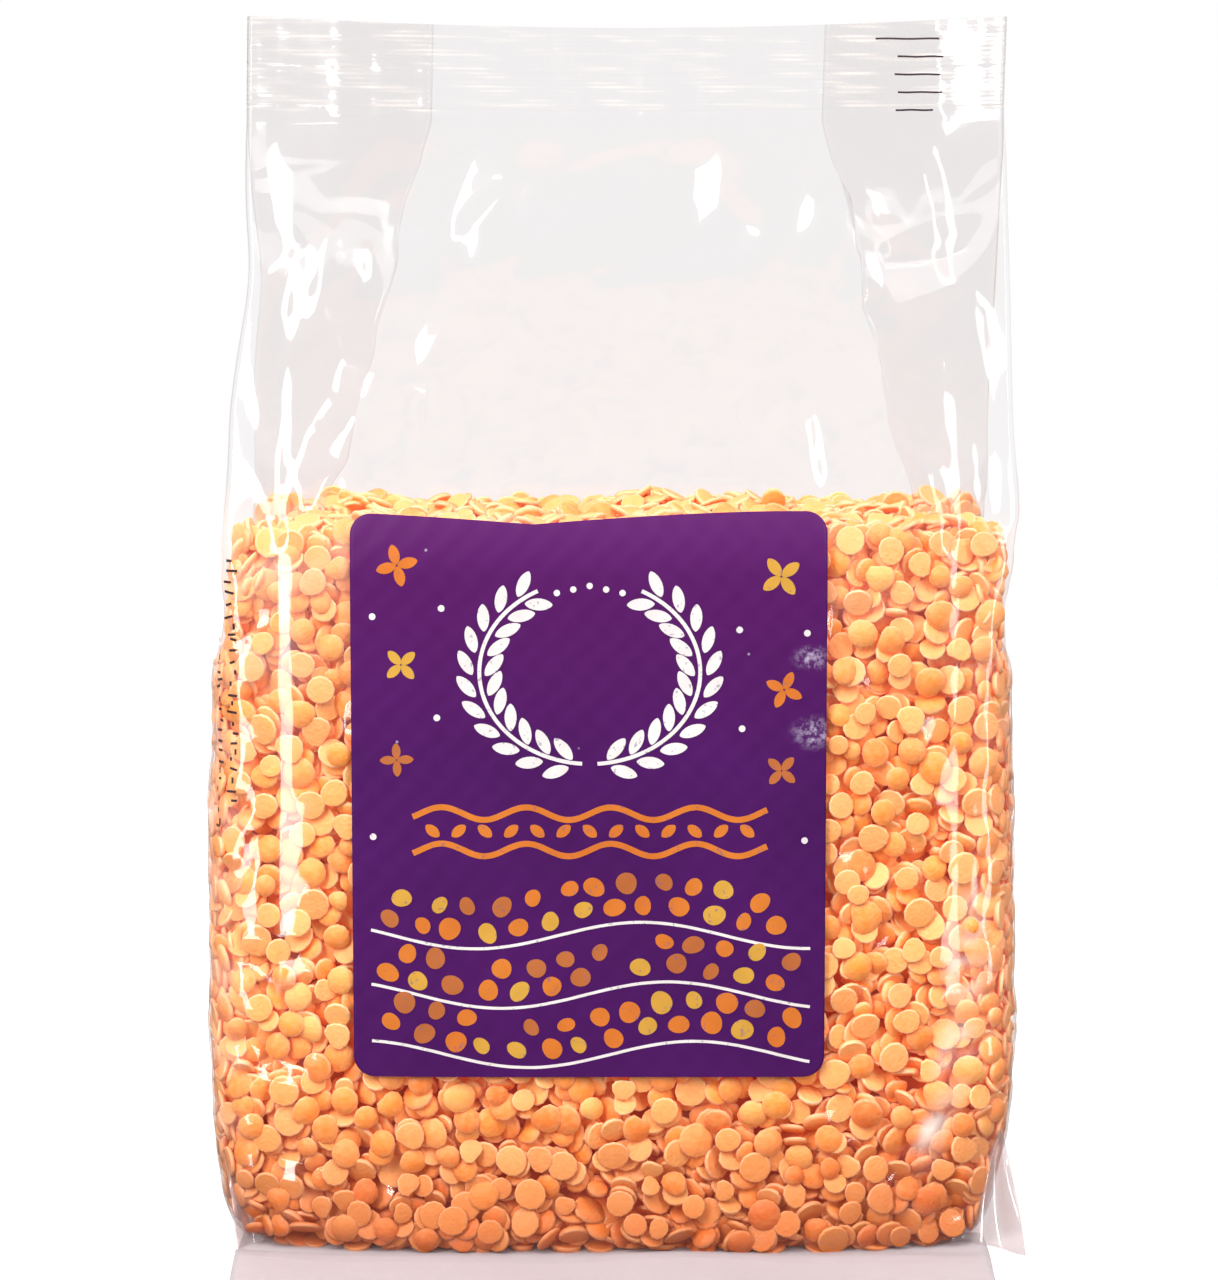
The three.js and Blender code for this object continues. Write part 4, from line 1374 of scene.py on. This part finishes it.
def drawWaves():
    # a row of leaves between two waves
    along = np.linspace(-artwork["waveWide"], artwork["waveWide"], 120)
    for lift in (artwork["waveApart"], -artwork["waveApart"]):
        z = artwork["waveZ"] + lift + artwork["waveSwing"] * np.sin(along / 1.9)
        orangeLines.append(stroke(artwork["middle"] + along, z, artwork["waveInk"]))
    for n in range(-6, 7):
        inked["orange"].append(leaf(artwork["middle"] + n * 3.7, artwork["waveZ"] + 0.1, 2.5, 1.5,
                                    -0.7 if n % 2 == 0 else 0.7))


def drawFlowers():
    for x, z, petal, kind in flowers:
        for n in range(4):
            a = 0.4 + n * math.pi / 2 + x
            out = petal * 0.62
            inked[kind].append(leaf(x + math.cos(a) * out, z + math.sin(a) * out, petal * 1.15, out, a))
    for x, z in dots:
        inked["cream"].append(blob(x, z, artwork["dot"], artwork["dot"], 0))


tufts = np.random.default_rng(77)
drawWreath()
drawBands(tufts)
drawWaves()
drawFlowers()
# each ink lies a little higher than the one before, so that none of them flickers through another
prints = [
    printPiece("label_leaves", inked["cream"], creamLines, creamInk),
    printPiece("label_orange", inked["orange"], orangeLines, orangeInk, base=0.166),
    printPiece("label_yellow", inked["yellow"], [], yellowInk, base=0.172),
    printPiece("label_rust", inked["rust"], [], rustInk, base=0.178),
]
print("stage: label made")


# Plain marks on the film: short dashes on the seal and a line of ticks up the left side

def onSeal(x, z, above):
    y = sealBend(x) * smooth(146, 168, z) - foldHeight(x, z, sealFolds)
    return np.stack([x, y - 0.4 - above, z], -1)


dashEnds = [(38.2, 47.4), (41.4, 48.0), (41.0, 47.6), (41.5, 47.9), (41.2, 46.6)]
dashes = []
for n, (start, end) in enumerate(dashEnds):
    wobble = 0.03 * np.sin(np.linspace(0, 9, 24) + n)
    dashes.append(stroke(np.linspace(start, end, 24), 173.2 - n * 2.55 + wobble, 0.27))
sealDashes = printPiece("seal_dashes", [], dashes, coderInk, surface=onSeal, base=0.0)


def onSide(along, z, above):
    # the left shoulder of the film; along counts mm back from the front fold
    column = columns - along * sideSteps / (2 * bag["gussetHalf"])
    direction = sampleWall(outWall, column, z)
    return sampleWall(wall, column, z) + direction * (0.35 + above)


# mm back from the fold, and the heights between which the ticks stand
tickColumns = [(-2.2, 101.0, 66.5), (0.9, 89.5, 62.5)]
ticks = []
for column, top, bottom in tickColumns:
    z = top
    while z > bottom:
        z -= tufts.uniform(0.7, 1.9)
        at = column + tufts.normal(0, 0.2)
        if tufts.random() < 0.55:
            xs = np.linspace(at, at + tufts.uniform(0.7, 1.7), 5)
            ticks.append(stroke(xs, np.linspace(z, z + tufts.normal(0, 0.2), 5), 0.36))
        else:
            xs = np.full(5, at + tufts.uniform(0.0, 1.3))
            ticks.append(stroke(xs, np.linspace(z - tufts.uniform(0.2, 0.7), z + 0.3, 5), 0.34))
sideTicks = printPiece("side_ticks", [], ticks, coderInk, surface=onSide, base=0.0)


# Everything rides on the one body

filled = [film, bottomSeal, filmCorners, lentilCore, *lentilPieces]
for piece in filled:
    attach(piece, "root")
    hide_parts("bag")
for piece in (film, bottomSeal, filmCorners):
    piece.visible_shadow = False
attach(paper, "root")
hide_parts("label")
for piece in (*prints, sealDashes, sideTicks):
    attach(piece, "root")


# A white table that runs out of sight, soft light from both sides, and the camera

table = {"clear": "FFFFFF", "cloudy": "FAFAFA", "asLight": "585858", "glow": 0.16,
         "fadeStart": 0.35, "fadeEnd": 1.1, "level": -0.2, "sides": 96, "rings": (150, 400, 800, 1200)}


def floorMaterial():
    material, tree, coords = newMaterial("white table")
    tint = rampOf(tree, noiseOf(tree, coords, 3.0, 2.0), [(0.3, table["cloudy"]), (0.7, table["clear"])])
    # white to the eye, but a quiet grey to whatever it lights
    seen = addNode(tree, "ShaderNodeLightPath").outputs["Is Camera Ray"]
    tint = tinted(tree, seen, colour(table["asLight"]), tint)
    shader = addNode(tree, "ShaderNodeBsdfPrincipled", {
        "Base Color": tint, "Roughness": 0.6, "Emission Color": tint,
        "Emission Strength": maths(tree, "MULTIPLY", seen, table["glow"])})
    # it fades out a metre away, so that no horizon shows
    far = addNode(tree, "ShaderNodeVectorMath", {0: coords}, operation="LENGTH").outputs["Value"]
    fade = remap(tree, far, table["fadeStart"], table["fadeEnd"], curve="SMOOTHSTEP")
    return finishMaterial(material, blended(tree, fade, shader, addNode(tree, "ShaderNodeBsdfTransparent")))


def makeFloor():
    n = table["sides"]
    around = np.arange(n) / n * 2 * math.pi
    points = [(0, 0, table["level"])]
    for reach in table["rings"]:
        points += [(reach * math.cos(a), reach * math.sin(a), table["level"]) for a in around]
    faces = [(0, 1 + i, 1 + (i + 1) % n) for i in range(n)]
    for ring in range(len(table["rings"]) - 1):
        for i in range(n):
            a, b = 1 + ring * n + i, 1 + ring * n + (i + 1) % n
            faces.append((a, a + n, b + n, b))
    return makeMesh("floor", points, faces, floorMaterial())


makeFloor()


def aim(thing, target):
    way = Vector(target) - thing.location
    thing.rotation_mode = "QUATERNION"
    thing.rotation_quaternion = way.to_track_quat("-Z", "Y")


def areaLamp(name, wide, tall, watts, tint=(1.0, 1.0, 1.0)):
    data = bpy.data.lights.new(name, "AREA")
    data.shape = "RECTANGLE"
    data.size = wide
    data.size_y = tall
    data.energy = watts
    data.color = tint
    lamp = bpy.data.objects.new(name, data)
    bpy.context.scene.collection.objects.link(lamp)
    return lamp


filmOnly = bpy.data.collections.new("film only")
for piece in (film, bottomSeal, filmCorners):
    filmOnly.objects.link(piece)


def lightFilmOnly(lamp):
    # the film mirrors it, and the seeds and the label behind it stay as they are
    lamp.visible_diffuse = False
    lamp.light_linking.receiver_collection = filmOnly


lamps = {
    # azimuth from the front, height and distance in metres, width, height, watts, tint
    "left": (-38, 0.74, 1.05, 0.27, 1.0, 10.4, (1.0, 0.985, 0.955)),
    "right": (37, 0.74, 1.05, 0.21, 1.0, 5.8, (1.0, 0.965, 0.955)),
    "fill top": (0, 1.2, 0.5, 0.8, 0.5, 6.5, (1.0, 1.0, 1.0)),
    # the glints are only mirrored by the film
    "glint left": (-35, 0.16, 1.1, 0.12, 0.42, 3.0, (1.0, 1.0, 1.0)),
    "glint right": (37, 0.16, 1.1, 0.1, 0.42, 1.6, (1.0, 1.0, 1.0)),
    # the fills only light the seeds and the label: the film doesn't mirror them
    "fill left": (-40, 1.0, 0.95, 0.9, 0.9, 7.1, (1.0, 0.985, 0.955)),
    "fill right": (34, 1.0, 0.95, 0.9, 0.9, 3.7, (1.0, 0.97, 0.96)),
}
for name, (azimuth, height, distance, wide, tall, watts, tint) in lamps.items():
    lamp = areaLamp("lamp " + name, wide, tall, watts, tint)
    a = math.radians(azimuth)
    lamp.location = (math.sin(a) * distance, -math.cos(a) * distance, height)
    aim(lamp, (0, 0, 0.08))
    lamp.visible_glossy = not name.startswith("fill")
    if name.startswith("glint"):
        lightFilmOnly(lamp)


cards = {
    # bright strips that lie on the table before the bag's front folds: azimuth, start x, watts, width
    "left": (-35, -0.046, 3.4, 0.075),
    "right": (37, 0.049, 1.9, 0.06),
}
cardLength = 1.0
cardReach = 0.66
for name, (azimuth, startX, watts, wide) in cards.items():
    card = areaLamp("card " + name, wide, cardLength, watts)
    lightFilmOnly(card)
    a = math.radians(azimuth)
    card.location = (startX + math.sin(a) * cardReach, -0.02 - math.cos(a) * cardReach, 0.004)
    # a lamp shines along its -Z, so it is turned over, then swung round to point at the bag
    swung = Matrix.Rotation(a, 3, "Z") @ Matrix.Rotation(math.pi, 3, "Y")
    card.rotation_mode = "QUATERNION"
    card.rotation_quaternion = swung.to_quaternion()


def makeSky():
    # white to the eye, softer as light: dimmer from the front than from behind
    world = bpy.data.worlds.new("studio")
    bpy.context.scene.world = world
    world.use_nodes = True
    tree = world.node_tree
    tree.nodes.clear()
    way = addNode(tree, "ShaderNodeTexCoord").outputs["Generated"]
    parts = addNode(tree, "ShaderNodeSeparateXYZ", {"Vector": way})
    fromFront = remap(tree, parts.outputs["Y"], -0.9, 0.5, 0.34, 0.85)
    soft = addNode(tree, "ShaderNodeBackground", {"Color": (1.0, 0.995, 0.99, 1.0), "Strength": fromFront})
    seen = addNode(tree, "ShaderNodeBackground", {"Color": (1.0, 1.0, 1.0, 1.0), "Strength": 1.0})
    straight = addNode(tree, "ShaderNodeLightPath").outputs["Is Camera Ray"]
    both = blended(tree, straight, soft, seen)
    addNode(tree, "ShaderNodeOutputWorld", {"Surface": both.outputs[0]})


makeSky()

shot = {"distance": 545.0, "height": 155.0, "targetZ": 89.0, "targetY": -27.0, "x": -0.3, "lens": 104.7}
cameraData = bpy.data.cameras.new("camera")
cameraData.lens = shot["lens"]
cameraData.sensor_width = 36.0
cameraData.clip_start, cameraData.clip_end = 0.05, 50.0
camera = bpy.data.objects.new("camera", cameraData)
camera.location = place([shot["x"], -shot["distance"], shot["height"]])
aim(camera, place([shot["x"], shot["targetY"], shot["targetZ"]]))
bpy.context.scene.collection.objects.link(camera)
bpy.context.scene.camera = camera
print("stage: studio ready")
